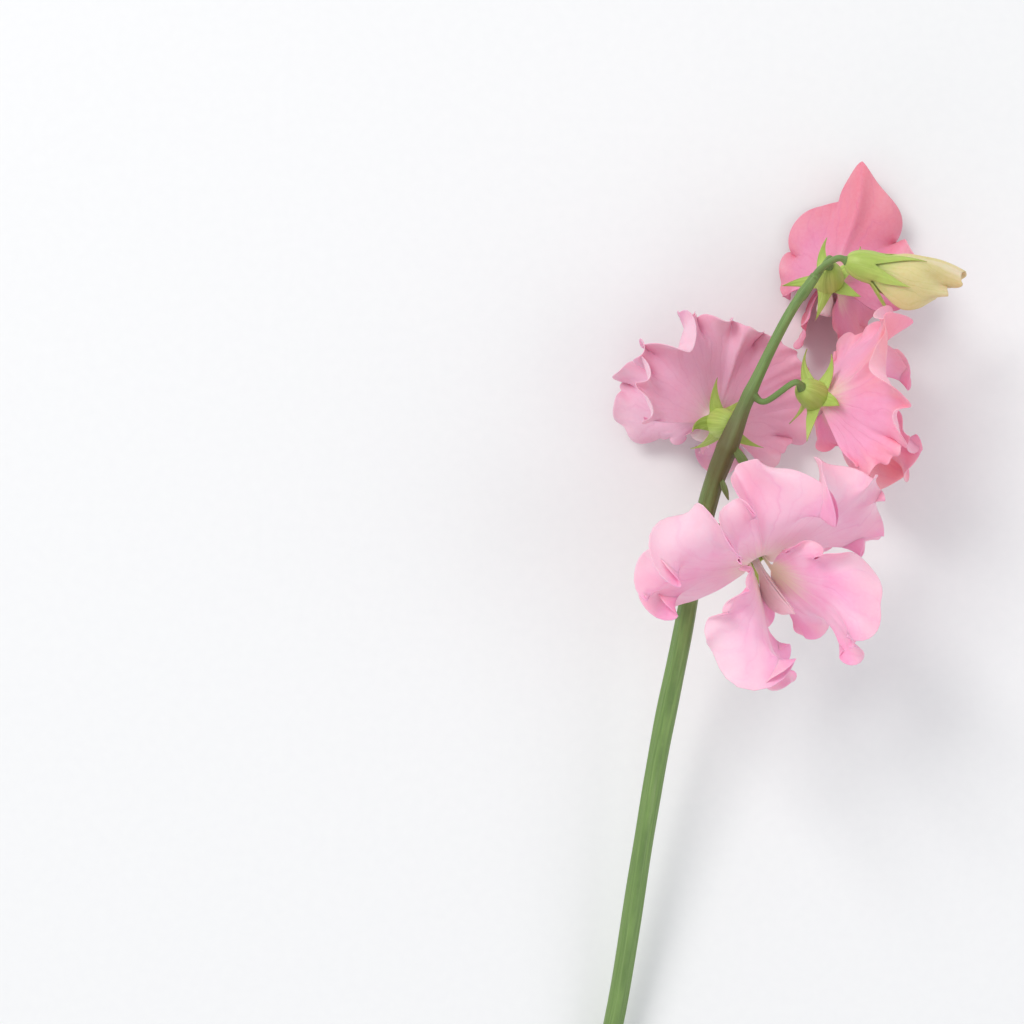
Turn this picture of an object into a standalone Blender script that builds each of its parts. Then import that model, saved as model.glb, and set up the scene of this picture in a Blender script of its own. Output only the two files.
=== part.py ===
"""A cut stem of sweet pea lying on a table: one stalk with four open blossoms and a bud at its tip.

Metres, +Z up, the table at z = 0. The stalk runs along +Y from its cut end to its tip. Each blossom hangs
on its own short pedicel and is built in a frame of its own: +X forwards, the way its keel points, +Z up
towards its standard, and the origin where the pedicel meets the calyx. Petals are thin solids with a
gap of 0.3 mm to their neighbours. Whatever would reach below the table is bent along it, as soft
petals are under the stem's weight.
"""

import math
from dataclasses import dataclass

import bmesh
import bpy
import numpy as np
from mathutils import Matrix, Vector

MM = 0.001

# The stalk: its route, and its radius at the same points.
CENTRE = Vector((-0.98, -30.69, 0.15)) * MM  # the origin, in the numbers of the places below
STALK_ROUTE = [  # x, y, z and radius, in mm
    (-43.0, -157.0, 2.35, 2.30),
    (-37.0, -122.0, 3.8, 2.25),
    (-30.4, -92.0, 7.0, 2.2),
    (-25.0, -56.5, 12.2, 2.15),
    (-21.0, -31.5, 16.6, 2.25),
    (-16.7, -8.7, 20.8, 2.2),
    (-13.0, 13.0, 24.4, 2.0),
    (-10.6, 24.0, 26.2, 2.1),
    (-7.4, 33.0, 27.6, 2.35),
    (-2.6, 44.6, 28.8, 1.85),
    (5.4, 60.9, 29.8, 1.35),
    (11.5, 70.0, 30.2, 1.2),
]
STALK_POINTS = 34
STALK_SIDES = 10

PETAL = 0.5 * MM  # thickness of a petal
GAP = 0.3 * MM  # clearance between pieces that touch
PRESS_FROM = 4.0 * MM  # height under which soft parts are pressed towards the table
PRESS_TO = 0.30 * MM  # height that the most pressed parts keep, half a petal and a little

# The calyx: a cup with five teeth.
CUP_LENGTH = 5.4 * MM
CUP_RADIUS = 3.7 * MM
CUP_WALL = 0.5 * MM
TOOTH_LENGTH = 7.5 * MM
TEETH = 5

# The petals, in a blossom of size 1.
CLAW_START = 2.1 * MM  # every claw begins this far into the cup
CLAW_END = 9.0 * MM  # where the wings and the keel leave the cup behind
STANDARD_CLAW = 3.6 * MM
STANDARD_ARCH = 2.38 * MM  # radius of the standard's claw, an arch over the other claws
STANDARD_BLADE = 28.0 * MM
STANDARD_SHAPE = (33, 13)  # columns and rows of its grid
WING_CLAW_OFFSET = 1.5 * MM
WING_BLADE = 27.0 * MM
WING_WIDTH = 23.0 * MM
WING_SHAPE = (19, 9)
KEEL_LENGTH = 21.0 * MM
KEEL_WALL = 0.4 * MM
STAMEN_RADIUS = 0.45 * MM
BUD_LENGTH = 23.0 * MM


@dataclass
class Blossom:
    """Where an open blossom sits and how it holds its petals. Lengths are in mm, angles in degrees."""

    name: str
    node: float  # where its pedicel leaves the stalk, in points of the route
    base: tuple  # where its calyx begins
    forward: tuple
    up: tuple
    size: float
    lean: float  # angle from forwards to the standard's midline
    sides: tuple  # the same at the standard's left and right sides
    reflex: float  # how much further the standard's margin bends back
    fold: float  # how far the midline folds behind the two halves
    tip: float  # how far the midline reaches past the rounded outline, as a share; less than 0 is a notch
    spread: float  # from the midline to each lower lobe
    shoulders: tuple  # how much shorter its left and right sides are than a rounded outline, as a share
    wing_out: float  # how far the wings turn outwards
    wing_roll: float  # how far they lie back
    wing_curl: float  # how far the wings' margins curl
    wing_swing: float  # how deep their ruffles are
    phase: float  # sets the waves of the petals
    frill: tuple  # the standard's ruffles: waves a radian times two pi, swing, where they start, overhang


@dataclass
class Bud:
    """Where the bud sits. Lengths are in mm."""

    name: str
    node: float
    base: tuple
    forward: tuple
    up: tuple
    size: float


BLOSSOMS = [
    Blossom("flower_1", 6.25, (-3.4, 13.4, 23.8), (0.42, -0.80, 0.43), (0.02, 0.45, 0.88), 1.09,
            88, (80, 87), 14, 12, -0.10, 112, (0, 0), 22, 18, -10, 50, 0.4, (6.6, 62.0, 0.16, 0.75)),
    Blossom("flower_2", 7.6, (-5.8, 38.5, 22.4), (-0.44, 0.05, -0.89), (0.28, 0.95, -0.08), 0.86,
            86, (84, 84), 10, 10, -0.08, 108, (0, 0), 38, 18, 14, 44, 2.1, (9.5, 40.0, 0.42, 0.75)),
    Blossom("flower_3", 9.0, (8.4, 45.8, 31.5), (0.62, -0.30, -0.72), (0.78, 0.325, 0.52), 0.95,
            100, (50, 66), 10, 22, 0.36, 84, (0.44, 0.29), 24, 6, -10, 44, 3.7, (9.5, 40.0, 0.42, 0.75)),
    Blossom("flower_4", 10.55, (15.0, 72.4, 24.6), (0.12, -0.50, -0.86), (0.36, 0.83, -0.44), 0.84,
            78, (44, 50), 4, 26, 0.42, 88, (0.26, 0.26), 14, -3, 0, 10, 5.2, (9.5, 40.0, 0.42, 0.75)),
]
BUD = Bud("bud", 11.0, (17.9, 72.9, 33.0), (0.955, -0.24, -0.05), (0.24, 0.95, 0.2), 1.0)


def material(name, colour, roughness):
    """A plain Principled material."""
    made = bpy.data.materials.new(name)
    made.use_nodes = True
    shader = made.node_tree.nodes["Principled BSDF"]
    shader.inputs["Base Color"].default_value = (*colour, 1.0)
    shader.inputs["Roughness"].default_value = roughness
    return made


def unit(vector):
    """The vector, one long."""
    vector = np.asarray(vector, float)
    return vector / np.linalg.norm(vector)


def smooth(t):
    """0 to 1 with no corner at either end."""
    t = np.clip(t, 0.0, 1.0)
    return t * t * (3 - 2 * t)


def frame_of(piece):
    """The matrix that carries a blossom's own frame to its place on the stem."""
    forward = unit(piece.forward)
    up = np.asarray(piece.up, float)
    up = unit(up - forward * (up @ forward))
    left = np.cross(up, forward)
    base = np.asarray(piece.base) * MM - np.asarray(CENTRE)
    matrix = Matrix.Identity(4)
    for row in range(3):
        for column, axis in enumerate((forward, left, up, base)):
            matrix[row][column] = axis[row]
    return matrix


def pressed(points):
    """Bends what would reach below PRESS_FROM smoothly along the table, and keeps its order in height."""
    points = points.copy()
    depth = PRESS_FROM - PRESS_TO
    low = points[:, 2] < PRESS_FROM
    points[low, 2] = PRESS_TO + depth * np.exp((points[low, 2] - PRESS_FROM) / depth)
    return points


def new_object(name, mesh, holder, finish):
    """A mesh object of that name, parented to an empty and smooth shaded."""
    made = bpy.data.objects.new(name, mesh)
    bpy.context.scene.collection.objects.link(made)
    made.parent = holder
    mesh.materials.append(finish)
    mesh.shade_smooth()
    return made


def holder_at(name, matrix):
    """An empty that carries a blossom's pieces."""
    empty = bpy.data.objects.new(name, None)
    bpy.context.scene.collection.objects.link(empty)
    empty.matrix_world = matrix
    return empty


def settled(points, matrix):
    """Points of a blossom's frame, pressed where they meet the table."""
    world = np.array(matrix)
    placed = points @ world[:3, :3].T + world[:3, 3]
    return (pressed(placed) - world[:3, 3]) @ world[:3, :3]


def sheet(name, grid, thickness, holder, finish):
    """A thin solid petal from a grid of points of its middle surface, in the holder's frame."""
    rows, columns = grid.shape[:2]
    points = settled(grid.reshape(-1, 3), holder.matrix_world)
    faces = [
        (i * columns + j, i * columns + j + 1, (i + 1) * columns + j + 1, (i + 1) * columns + j)
        for i in range(rows - 1)
        for j in range(columns - 1)
    ]
    mesh = bpy.data.meshes.new(name)
    mesh.from_pydata(points.tolist(), [], faces)
    made = new_object(name, mesh, holder, finish)
    wall = made.modifiers.new("Thickness", "SOLIDIFY")
    wall.thickness = thickness
    wall.offset = 0.0
    return made


def turned(name, rings, holder, finish):
    """A closed solid from rings of points, with a fan over the first and the last."""
    count = rings.shape[1]
    points = settled(rings.reshape(-1, 3), holder.matrix_world)
    mesh = bpy.data.meshes.new(name)
    made = bmesh.new()
    corners = [made.verts.new(p) for p in points]
    for i in range(rings.shape[0] - 1):
        for j in range(count):
            k = (j + 1) % count
            made.faces.new(
                (corners[i * count + j], corners[i * count + k], corners[(i + 1) * count + k], corners[(i + 1) * count + j])
            )
    made.faces.new([corners[j] for j in reversed(range(count))])
    made.faces.new([corners[(rings.shape[0] - 1) * count + j] for j in range(count)])
    bmesh.ops.recalc_face_normals(made, faces=made.faces)
    made.to_mesh(mesh)
    made.free()
    return new_object(name, mesh, holder, finish)


def curve_at(points, along):
    """Points on a smooth Catmull-Rom curve through the given ones, at places counted in those points."""
    points = np.asarray(points, float)
    padded = np.vstack([2 * points[0] - points[1], points, 2 * points[-1] - points[-2]])
    along = np.atleast_1d(np.asarray(along, float))
    piece = np.minimum(along.astype(int), len(points) - 2)
    t = (along - piece)[:, None]
    a, b, c, d = (padded[piece + k] for k in range(4))
    return 0.5 * (2 * b + (c - a) * t + (2 * a - 5 * b + 4 * c - d) * t**2 + (3 * b - a - 3 * c + d) * t**3)


def curve_through(points, count):
    """The same curve from end to end, as that many points."""
    return curve_at(points, np.linspace(0, len(points) - 1, count))


def tube(name, points, radii, sides, holder, finish):
    """A round stalk along points, as a curve with a bevel and filled caps."""
    curve = bpy.data.curves.new(name, "CURVE")
    curve.dimensions = "3D"
    curve.bevel_depth = 1.0
    curve.bevel_resolution = sides // 2 - 2
    curve.use_fill_caps = True
    spline = curve.splines.new("POLY")
    spline.points.add(len(points) - 1)
    for place, point, radius in zip(spline.points, points, radii):
        place.co = (*point, 1.0)
        place.radius = radius
    made = bpy.data.objects.new(name, curve)
    bpy.context.scene.collection.objects.link(made)
    curve.materials.append(finish)
    made.parent = holder
    return made


def waves(angle, phase, count):
    """An uneven wave along a petal's margin, from -1 to 1: one main wave and a slower one."""
    return 0.62 * np.sin(count * angle + 2.3 * phase) + 0.38 * np.sin(0.55 * count * angle + 1.7 * phase + 1.0)


def ruffled(frill, angle, blade, phase):
    """What a frill adds to each point's slope, in degrees, and to its angle, so that the folds lean over."""
    count, swing, start, overhang = frill
    run = count * angle + 0.9 * np.sin(2.3 * angle + phase) + 0.6 * np.sin(5.1 * angle - 2 * phase) + 3 * phase
    grown = smooth((blade - start) / (1 - start))
    strength = 0.8 + 0.35 * np.sin(1.9 * angle + 1.3 * phase + count)
    return swing * strength * grown**1.3 * np.sin(run), -overhang / count * grown**2 * np.cos(run)


def standard_grid(blossom):
    """The middle surface of the standard.

    Each ray starts as part of the arched claw, runs forwards along it, and bends outwards into the
    blade. Its slope is measured from forwards, so more than a right angle leans back.
    """
    columns, rows = STANDARD_SHAPE
    spread = math.radians(blossom.spread)
    angle = np.linspace(-spread, spread, columns)[None, :]
    turn = np.abs(angle)
    middle = math.radians(45)
    fall = np.where(turn < middle, 0.55, 0.9)
    reach = STANDARD_BLADE * blossom.size * np.cos((turn - middle) * fall) ** 0.8
    tip = blossom.tip * np.exp(-((turn / 0.34) ** 1.3))
    shoulder = np.where(angle > 0, *blossom.shoulders)
    reach = reach * (1 + tip - shoulder * np.sin(np.minimum(turn, math.pi / 2)))
    blade = np.concatenate([[0, 0], np.linspace(0, 1, rows - 2)])[:, None]
    claw = np.array([0.0, 0.5] + [1.0] * (rows - 2))[:, None]
    along = STANDARD_CLAW * claw + reach * blade
    bend = smooth((along - STANDARD_CLAW * 0.75) / (3.6 * MM))
    side = np.where(angle > 0, *blossom.sides)
    lean = blossom.lean + (side - blossom.lean) * np.sin(np.minimum(turn, math.pi / 2)) ** 2
    lean = lean + blossom.fold * np.exp(-((turn / 0.28) ** 2)) * blade
    swing, sway = ruffled(blossom.frill, angle, blade, blossom.phase)
    large = 30 * blade**1.6 * waves(angle, blossom.phase, 4.2)
    slope = np.radians(lean * bend + blossom.reflex * blade**2 + large + swing)
    return ray_surface(angle, along, slope, CLAW_START, STANDARD_ARCH, sway)


def ray_surface(angle, along, slope, start, arch, sway):
    """Adds up each ray's steps: forwards by the cosine of its slope, and outwards by the sine."""
    step = np.diff(along, axis=0)
    middle = (slope[1:] + slope[:-1]) / 2
    zero = np.zeros((1, slope.shape[1]))
    ahead = start + np.vstack([zero, np.cumsum(step * np.cos(middle), axis=0)])
    out = arch + np.vstack([zero, np.cumsum(step * np.sin(middle), axis=0)])
    return np.stack([ahead, out * np.sin(angle + sway), out * np.cos(angle + sway)], axis=-1)


def wing_grid(blossom, side):
    """The middle surface of a wing: a narrow claw, then rays that fan out over an ellipse and curl."""
    out, roll, rise = math.radians(blossom.wing_out), math.radians(blossom.wing_roll), math.radians(8)
    ahead = np.array([math.cos(rise) * math.cos(out), side * math.sin(out), math.sin(rise) * math.cos(out)])
    up = np.array([0.0, side * math.sin(roll), math.cos(roll)])
    up = unit(up - ahead * (up @ ahead))
    outward = np.cross(up, ahead) * side
    root = np.array([CLAW_END, side * (WING_CLAW_OFFSET + 0.5 * MM), 0.2 * MM])

    columns, rows = WING_SHAPE
    fan = np.linspace(math.radians(-74), math.radians(80), columns)[None, :]
    tilt = fan - math.radians(6)
    long, wide = WING_BLADE * blossom.size, WING_WIDTH * blossom.size
    reach = long * np.cos(tilt) / (np.cos(tilt) ** 2 + (long / wide * np.sin(tilt)) ** 2)
    share = np.linspace(0, 1, rows)[:, None]
    narrow = 0.8 * MM
    along = narrow + np.maximum(reach - narrow, 1.2 * MM) * share
    swing, sway = ruffled((6.5, blossom.wing_swing, 0.25, 0.6), fan, share, blossom.phase + side)
    large = 26 * share**1.6 * waves(fan, blossom.phase + side, 4.6)
    slope = np.radians(blossom.wing_curl * (0.6 - 1.9 * share) + large + swing)
    step = np.diff(along, axis=0)
    middle = (slope[1:] + slope[:-1]) / 2
    zero = np.zeros((1, columns))
    flat = narrow + np.vstack([zero, np.cumsum(step * np.cos(middle), axis=0)])
    lift = np.vstack([zero, np.cumsum(step * np.sin(middle), axis=0)])
    turned_fan = fan + 0.7 * sway
    blade = (
        root
        + (flat * np.cos(turned_fan))[..., None] * ahead
        + (flat * np.sin(turned_fan))[..., None] * up
        + lift[..., None] * outward
    )
    claw_start = np.array([CLAW_START, side * WING_CLAW_OFFSET, 0.2 * MM])
    strip = np.linspace(-1, 1, columns) * 0.6 * MM
    claw = np.stack(
        [claw_start + (root - claw_start) * t + strip[:, None] * np.array([0, 0, 1.0]) for t in (0.0, 0.6)]
    )
    return np.concatenate([claw, blade])


def keel_grid(blossom):
    """The middle surface of the keel: a boat folded along its lower edge, open above, with a raised tip."""
    along = np.concatenate([[0.0, 0.5], np.linspace(0, 1, 8) + 1])[:, None]
    around = np.linspace(-1, 1, 9)[None, :]
    blade = np.clip(along - 1, 0, 1)
    length = KEEL_LENGTH * blossom.size - CLAW_END
    ahead = CLAW_START + (CLAW_END - CLAW_START) * np.minimum(along, 1) + length * blade
    ridge = (-1.2 - 3.4 * np.sin(math.pi * blade**0.8) ** 1.3 + 5.5 * blade**3) * MM
    height = (1.6 + 4.4 * np.sin(math.pi * blade**0.9) ** 1.2) * MM
    half = (0.75 + 1.2 * np.sin(math.pi * blade**0.85)) * MM
    side = half * np.sin(math.pi * 0.68 * np.abs(around)) * np.sign(around)
    z = ridge + height * (1 - np.cos(math.pi / 2 * np.abs(around) ** 1.2))
    return np.stack(np.broadcast_arrays(ahead, side, z), axis=-1)


def stamen_line(blossom):
    """The line of the stamen column: along the keel's floor, then up into its tip."""
    along = np.linspace(0, 1, 9)
    length = KEEL_LENGTH * blossom.size - 5.0 * MM
    ahead = CLAW_START + length * along
    height = (0.1 - 0.7 * np.sin(math.pi * along) + 3.4 * along**3) * MM
    return np.stack([ahead, np.zeros_like(along), height], axis=1)


def calyx_rings(tooth_line, phase):
    """Rings of the calyx: out along the cup's outside and its teeth, and back down its inside.

    tooth_line gives the middle line of a tooth: how far ahead, how far out, and its slope from forwards.
    """
    around = (np.arange(3 * TEETH) / (3 * TEETH) + 0.5 / TEETH) * 2 * math.pi
    peak = np.array([1.0, 0.02, 0.02] * TEETH)  # each tooth has a tip, and two points that stay near the rim
    long = 1 + 0.12 * np.cos(around + phase)
    cup = np.array([(0.0, 0.9), (0.4, 2.4), (1.4, 3.4), (3.4, 3.65), (5.4, 3.7)]) * MM
    rings = [(np.full_like(around, ahead), np.full_like(around, radius)) for ahead, radius in cup]
    for way, shares in ((1, (0.5, 1.0)), (-1, (0.97, 0.5))):
        for share in shares:
            ahead, radius, slope = tooth_line(around, share * peak * long)
            half = way * CUP_WALL * (0.5 - 0.25 * share)
            rings.append((ahead - half * np.sin(slope), radius + half * np.cos(slope)))
    for ahead, radius in cup[::-1][:-1]:
        rings.append((np.full_like(around, max(ahead, 0.9 * MM)), np.full_like(around, radius - CUP_WALL)))
    return np.stack([np.stack([a, r * np.sin(around), r * np.cos(around)], axis=-1) for a, r in rings])


def spread_tooth(around, share):
    """A tooth of an open blossom: the lowest points forwards, the others spread flat behind the standard."""
    lowest = smooth((-np.cos(around) - 0.55) / 0.4)
    slope = np.radians((94 - 62 * lowest) * smooth(share / 0.35 + 0.25))
    reach = TOOTH_LENGTH * share
    turn = np.radians(94 - 62 * lowest)
    return (
        CUP_LENGTH - 0.15 * MM + reach * np.cos(turn),
        CUP_RADIUS - CUP_WALL / 2 + reach * np.sin(turn),
        slope,
    )


def bud_radius(around, ahead):
    """How far out the folded standard of the bud lies: two half ellipses, deeper below than above."""
    along = np.clip((ahead - CUP_LENGTH) / (BUD_LENGTH - CUP_LENGTH), 0, 1)
    wide = (2.35 + 2.2 * np.sin(math.pi * along**1.1) ** 1.2) * MM
    above = (2.35 + 3.4 * np.sin(math.pi / 2 * np.clip(1.3 * along, 0, 1)) ** 1.3 - 2.2 * along**2) * MM
    below = (2.35 + 6.6 * np.sin(math.pi * 0.9 * along) ** 1.25) * MM
    tall = np.where(np.cos(around) > 0, above, below)
    return 1 / np.hypot(np.sin(around) / wide, np.cos(around) / tall)


def closed_tooth(around, share):
    """A tooth of the bud: it lies along the petals inside."""
    ahead = CUP_LENGTH - 0.15 * MM + 1.0 * TOOTH_LENGTH * share
    clear = bud_radius(around, ahead) + PETAL / 2 + 2.4 * GAP + CUP_WALL / 2
    return ahead, np.maximum(CUP_RADIUS - CUP_WALL / 2, clear), np.radians(12) * np.ones_like(around)


def add_stalk(finish):
    """The stalk, thick at its cut end and thin at its tip."""
    route = curve_through(STALK_ROUTE, STALK_POINTS) * MM
    route[:, :3] -= np.asarray(CENTRE)
    tube("stem", route[:, :3], route[:, 3], STALK_SIDES, None, finish)


def add_pedicel(piece, finish):
    """The pedicel: square out of the stalk, over in an arch and into the calyx, with a gap at each end."""
    last = len(STALK_ROUTE) - 1
    here = curve_at(STALK_ROUTE, piece.node)[0]
    before, after = curve_at(STALK_ROUTE, [piece.node - 0.1, min(piece.node + 0.1, last)])
    along = unit(after[:3] - before[:3])
    start, radius, end = here[:3], here[3], np.asarray(piece.base, float)
    forward = unit(piece.forward)
    away = end - start
    if piece.node == last:  # the last one goes on where the stalk ends
        square, clear = along, GAP / MM
    else:
        square, clear = unit(away - along * (away @ along)), radius + GAP / MM
    reach = np.linalg.norm(away)
    line = [
        start + square * clear,
        start + square * (clear + 0.22 * reach),
        end - forward * (0.32 + 0.25 * reach),
        end - forward * 0.32,
    ]
    line = curve_through(line, 9) * MM - np.asarray(CENTRE)
    radii = np.array([1.0, 0.85, 0.75, 0.72, 0.7, 0.7, 0.72, 0.78, 0.88]) * MM
    tube(piece.name + "_pedicel", line, radii, 6, None, finish)


def add_blossom(blossom, finishes):
    """One open blossom: calyx, standard, two wings, keel and stamens."""
    holder = holder_at(blossom.name, frame_of(blossom))
    turned(blossom.name + "_calyx", calyx_rings(spread_tooth, blossom.phase), holder, finishes["calyx"])
    sheet(blossom.name + "_standard", standard_grid(blossom), PETAL, holder, finishes["petal"])
    for word, side in (("left", 1), ("right", -1)):
        sheet(f"{blossom.name}_wing_{word}", wing_grid(blossom, side), PETAL, holder, finishes["petal"])
    sheet(blossom.name + "_keel", keel_grid(blossom), KEEL_WALL, holder, finishes["keel"])
    line = stamen_line(blossom)
    radii = STAMEN_RADIUS * np.linspace(1.0, 0.7, len(line))
    tube(blossom.name + "_stamens", line, radii, 6, holder, finishes["keel"])


def add_bud(bud, finishes):
    """The bud: its calyx, and the standard folded over the petals inside."""
    holder = holder_at(bud.name, frame_of(bud))
    turned(bud.name + "_calyx", calyx_rings(closed_tooth, 0.7), holder, finishes["calyx"])
    sheet(bud.name + "_standard", bud_standard_grid(bud), PETAL, holder, finishes["bud"])
    turned(bud.name + "_wings", bud_wings_rings(bud), holder, finishes["bud"])


def bud_standard_grid(bud):
    """The folded standard of the bud: it wraps the petals inside, open along its lower edge and its mouth."""
    around = np.linspace(-1, 1, 17)[None, :] * math.radians(156)
    ahead = np.concatenate([[CLAW_START, 3.8 * MM], np.linspace(CUP_LENGTH, BUD_LENGTH * bud.size, 10)])[:, None]
    radius = bud_radius(around, ahead)
    longer = 2.2 * MM * np.clip((ahead - CUP_LENGTH) / (BUD_LENGTH - CUP_LENGTH), 0, 1) ** 2
    return np.stack([ahead + longer * np.cos(around), radius * np.sin(around), radius * np.cos(around)], axis=-1)


def bud_wings_rings(bud):
    """The wings still wrapped around each other inside the bud: a flat spindle."""
    along = np.linspace(0, 1, 9)[:, None]
    around = np.linspace(0, 2 * math.pi, 10, endpoint=False)[None, :]
    ahead = CLAW_START + (BUD_LENGTH - CLAW_START - 2.5 * MM) * along * bud.size + 0 * around
    swell = np.sin(math.pi * np.clip(along, 0.02, 0.97))
    wide = (0.55 + 1.1 * swell**1.2) * MM
    tall = (0.6 + 2.9 * swell**1.1) * MM
    drop = -1.6 * np.sin(math.pi * along) * MM
    return np.stack([ahead, wide * np.sin(around), drop + tall * np.cos(around)], axis=-1)


def main():
    for old in list(bpy.data.objects):
        bpy.data.objects.remove(old)
    finishes = {
        "stem": material("stem_green", (0.19, 0.31, 0.085), 0.55),
        "calyx": material("calyx_green", (0.37, 0.46, 0.10), 0.5),
        "petal": material("petal_pink", (0.93, 0.40, 0.56), 0.6),
        "keel": material("keel_cream", (0.90, 0.80, 0.62), 0.6),
        "bud": material("bud_cream", (0.62, 0.54, 0.22), 0.55),
    }
    add_stalk(finishes["stem"])
    for blossom in BLOSSOMS:
        add_pedicel(blossom, finishes["stem"])
        add_blossom(blossom, finishes)
    add_pedicel(BUD, finishes["stem"])
    add_bud(BUD, finishes)


main()
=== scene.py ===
"""A cut stem of sweet pea that lies on a pale table: four ruffled blossoms and a bud on one stalk.

Metres, +Z up, the table at z = 0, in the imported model's frame. The stalk runs along +Y to its tip.
Each blossom is worked out in a frame of its own, with +X the way its keel points, +Z towards its
standard and the origin where its pedicel meets the calyx, and is then carried to its place on the
stem.
"""
import logging
import math
from dataclasses import dataclass
from enum import Enum
from typing import ClassVar, Sequence

import bpy
import numpy as np
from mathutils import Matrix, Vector


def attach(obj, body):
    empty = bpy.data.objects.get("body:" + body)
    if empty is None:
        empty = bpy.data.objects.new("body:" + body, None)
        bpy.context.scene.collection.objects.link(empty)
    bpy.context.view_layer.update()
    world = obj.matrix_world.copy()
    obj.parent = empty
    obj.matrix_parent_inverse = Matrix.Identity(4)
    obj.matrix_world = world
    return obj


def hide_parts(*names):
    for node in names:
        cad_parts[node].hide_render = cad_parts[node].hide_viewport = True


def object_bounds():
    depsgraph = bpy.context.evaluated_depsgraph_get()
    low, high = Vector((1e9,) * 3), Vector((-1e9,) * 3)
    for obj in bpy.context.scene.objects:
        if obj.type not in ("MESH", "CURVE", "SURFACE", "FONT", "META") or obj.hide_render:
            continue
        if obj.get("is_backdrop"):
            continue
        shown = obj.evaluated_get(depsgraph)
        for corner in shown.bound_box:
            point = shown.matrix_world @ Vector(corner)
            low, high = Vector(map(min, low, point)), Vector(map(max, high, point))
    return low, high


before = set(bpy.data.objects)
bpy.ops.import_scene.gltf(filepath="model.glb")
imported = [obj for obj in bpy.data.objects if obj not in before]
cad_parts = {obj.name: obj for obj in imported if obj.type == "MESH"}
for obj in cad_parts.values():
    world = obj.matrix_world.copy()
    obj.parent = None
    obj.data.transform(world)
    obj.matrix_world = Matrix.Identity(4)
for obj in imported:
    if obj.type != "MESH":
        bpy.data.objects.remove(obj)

Array = np.ndarray
Colour = tuple[float, float, float]
Value = "Expr | float"

MM = 0.001
ORIGIN = np.array([-0.98, -30.69, 0.15]) * MM  # the row's origin, in the stem's own plan
PRESS_FROM = 4.0 * MM  # below this height soft parts bend along the table
PRESS_TO = 0.22 * MM  # the height that the most pressed parts keep
CLAW_START = 2.1 * MM  # how far ahead of the pedicel's end every claw begins, inside the calyx
CLAW_END = 9.0 * MM  # where the wings and the keel leave the calyx behind
CUP_LENGTH = 5.4 * MM  # from the pedicel's end to the calyx's rim
CREST_SCALE = 60.0  # degrees of added slope that count as a whole crest or hollow
CAP_RINGS = (0.02, 0.5, 0.9)  # a tube's end rings, as shares of its width
LOG = logging.getLogger("sweet_pea")


def unit(vector: Sequence[float] | Array) -> Array:
    """Returns the vector, made one long."""
    vector = np.asarray(vector, float)
    return vector / np.linalg.norm(vector)


def ramp(low: float, high: float, value: Array | float) -> Array:
    """Rises from 0 at low to 1 at high with no corner at either end: 3 t squared minus 2 t cubed.

    Args:
        low: where the rise begins.
        high: where it ends.
        value: the places to work it out at.

    Returns:
        The ramp at each place.
    """
    t = np.clip((np.asarray(value, float) - low) / (high - low), 0.0, 1.0)
    return t * t * (3 - 2 * t)


def hump(value: Array, place: float, width: float) -> Array:
    """Returns a bell, exp of minus the square of (value - place) / width."""
    return np.exp(-(((value - place) / width) ** 2))


def turns(count: int) -> Array:
    """Returns that many angles evenly round a circle, as one row."""
    return np.linspace(0, 2 * math.pi, count, endpoint=False)[None, :]


def waves(angle: Array, phase: float, count: float) -> Array:
    """An uneven wave, about -1 to 1: 0.62 sin(count a) plus 0.38 sin(0.55 count a), phased apart.

    Args:
        angle: places along the margin, in radians.
        phase: shifts both waves, so that no two petals are alike.
        count: waves in a radian, times two pi.

    Returns:
        The wave at each place.
    """
    main = np.sin(count * angle + 2.3 * phase)
    return 0.62 * main + 0.38 * np.sin(0.55 * count * angle + 1.7 * phase + 1.0)


def across_axis(ahead: Array, radius: Array, turned: Array) -> Array:
    """Turns distances about a flower's axis into points.

    Args:
        ahead: how far along the axis each point lies.
        radius: how far out of it.
        turned: the angle about it, 0 at the top.

    Returns:
        The points: ahead, radius times the sine and radius times the cosine of the angle.
    """
    aside, above = radius * np.sin(turned), radius * np.cos(turned)
    return np.stack(np.broadcast_arrays(ahead, aside, above), -1)


def curve_at(points: Sequence[Sequence[float]] | Array, along: Sequence[float] | Array) -> Array:
    """Points on a Catmull-Rom curve: cubics whose slope at a point is half its neighbours' chord.

    Args:
        points: the points to pass through; further columns, such as a radius, are blended alike.
        along: places, counted in those points.

    Returns:
        One row for each place.
    """
    points = np.asarray(points, float)
    padded = np.vstack([2 * points[0] - points[1], points, 2 * points[-1] - points[-2]])
    along = np.atleast_1d(np.asarray(along, float))
    piece = np.minimum(along.astype(int), len(points) - 2)
    t = (along - piece)[:, None]
    a, b, c, d = (padded[piece + k] for k in range(4))
    square, cube = 2 * a - 5 * b + 4 * c - d, 3 * b - a - 3 * c + d
    return 0.5 * (2 * b + (c - a) * t + square * t**2 + cube * t**3)


def running(step: Array) -> Array:
    """Returns the running sum of steps down the rows, from a first row of zeros."""
    return np.vstack([np.zeros((1, step.shape[1])), np.cumsum(step, axis=0)])


def stepped(along: Array, slope: Array) -> tuple[Array, Array]:
    """Adds up each ray's steps: the cosine and the sine of its slope, times the step's length.

    Args:
        along: distance along the ray, rows by rays.
        slope: slope in radians, rows by rays.

    Returns:
        How far each point has gone along the ray's own direction, and how far off it.
    """
    step = np.diff(along, axis=0)
    middle = (slope[1:] + slope[:-1]) / 2
    return running(step * np.cos(middle)), running(step * np.sin(middle))


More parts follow.
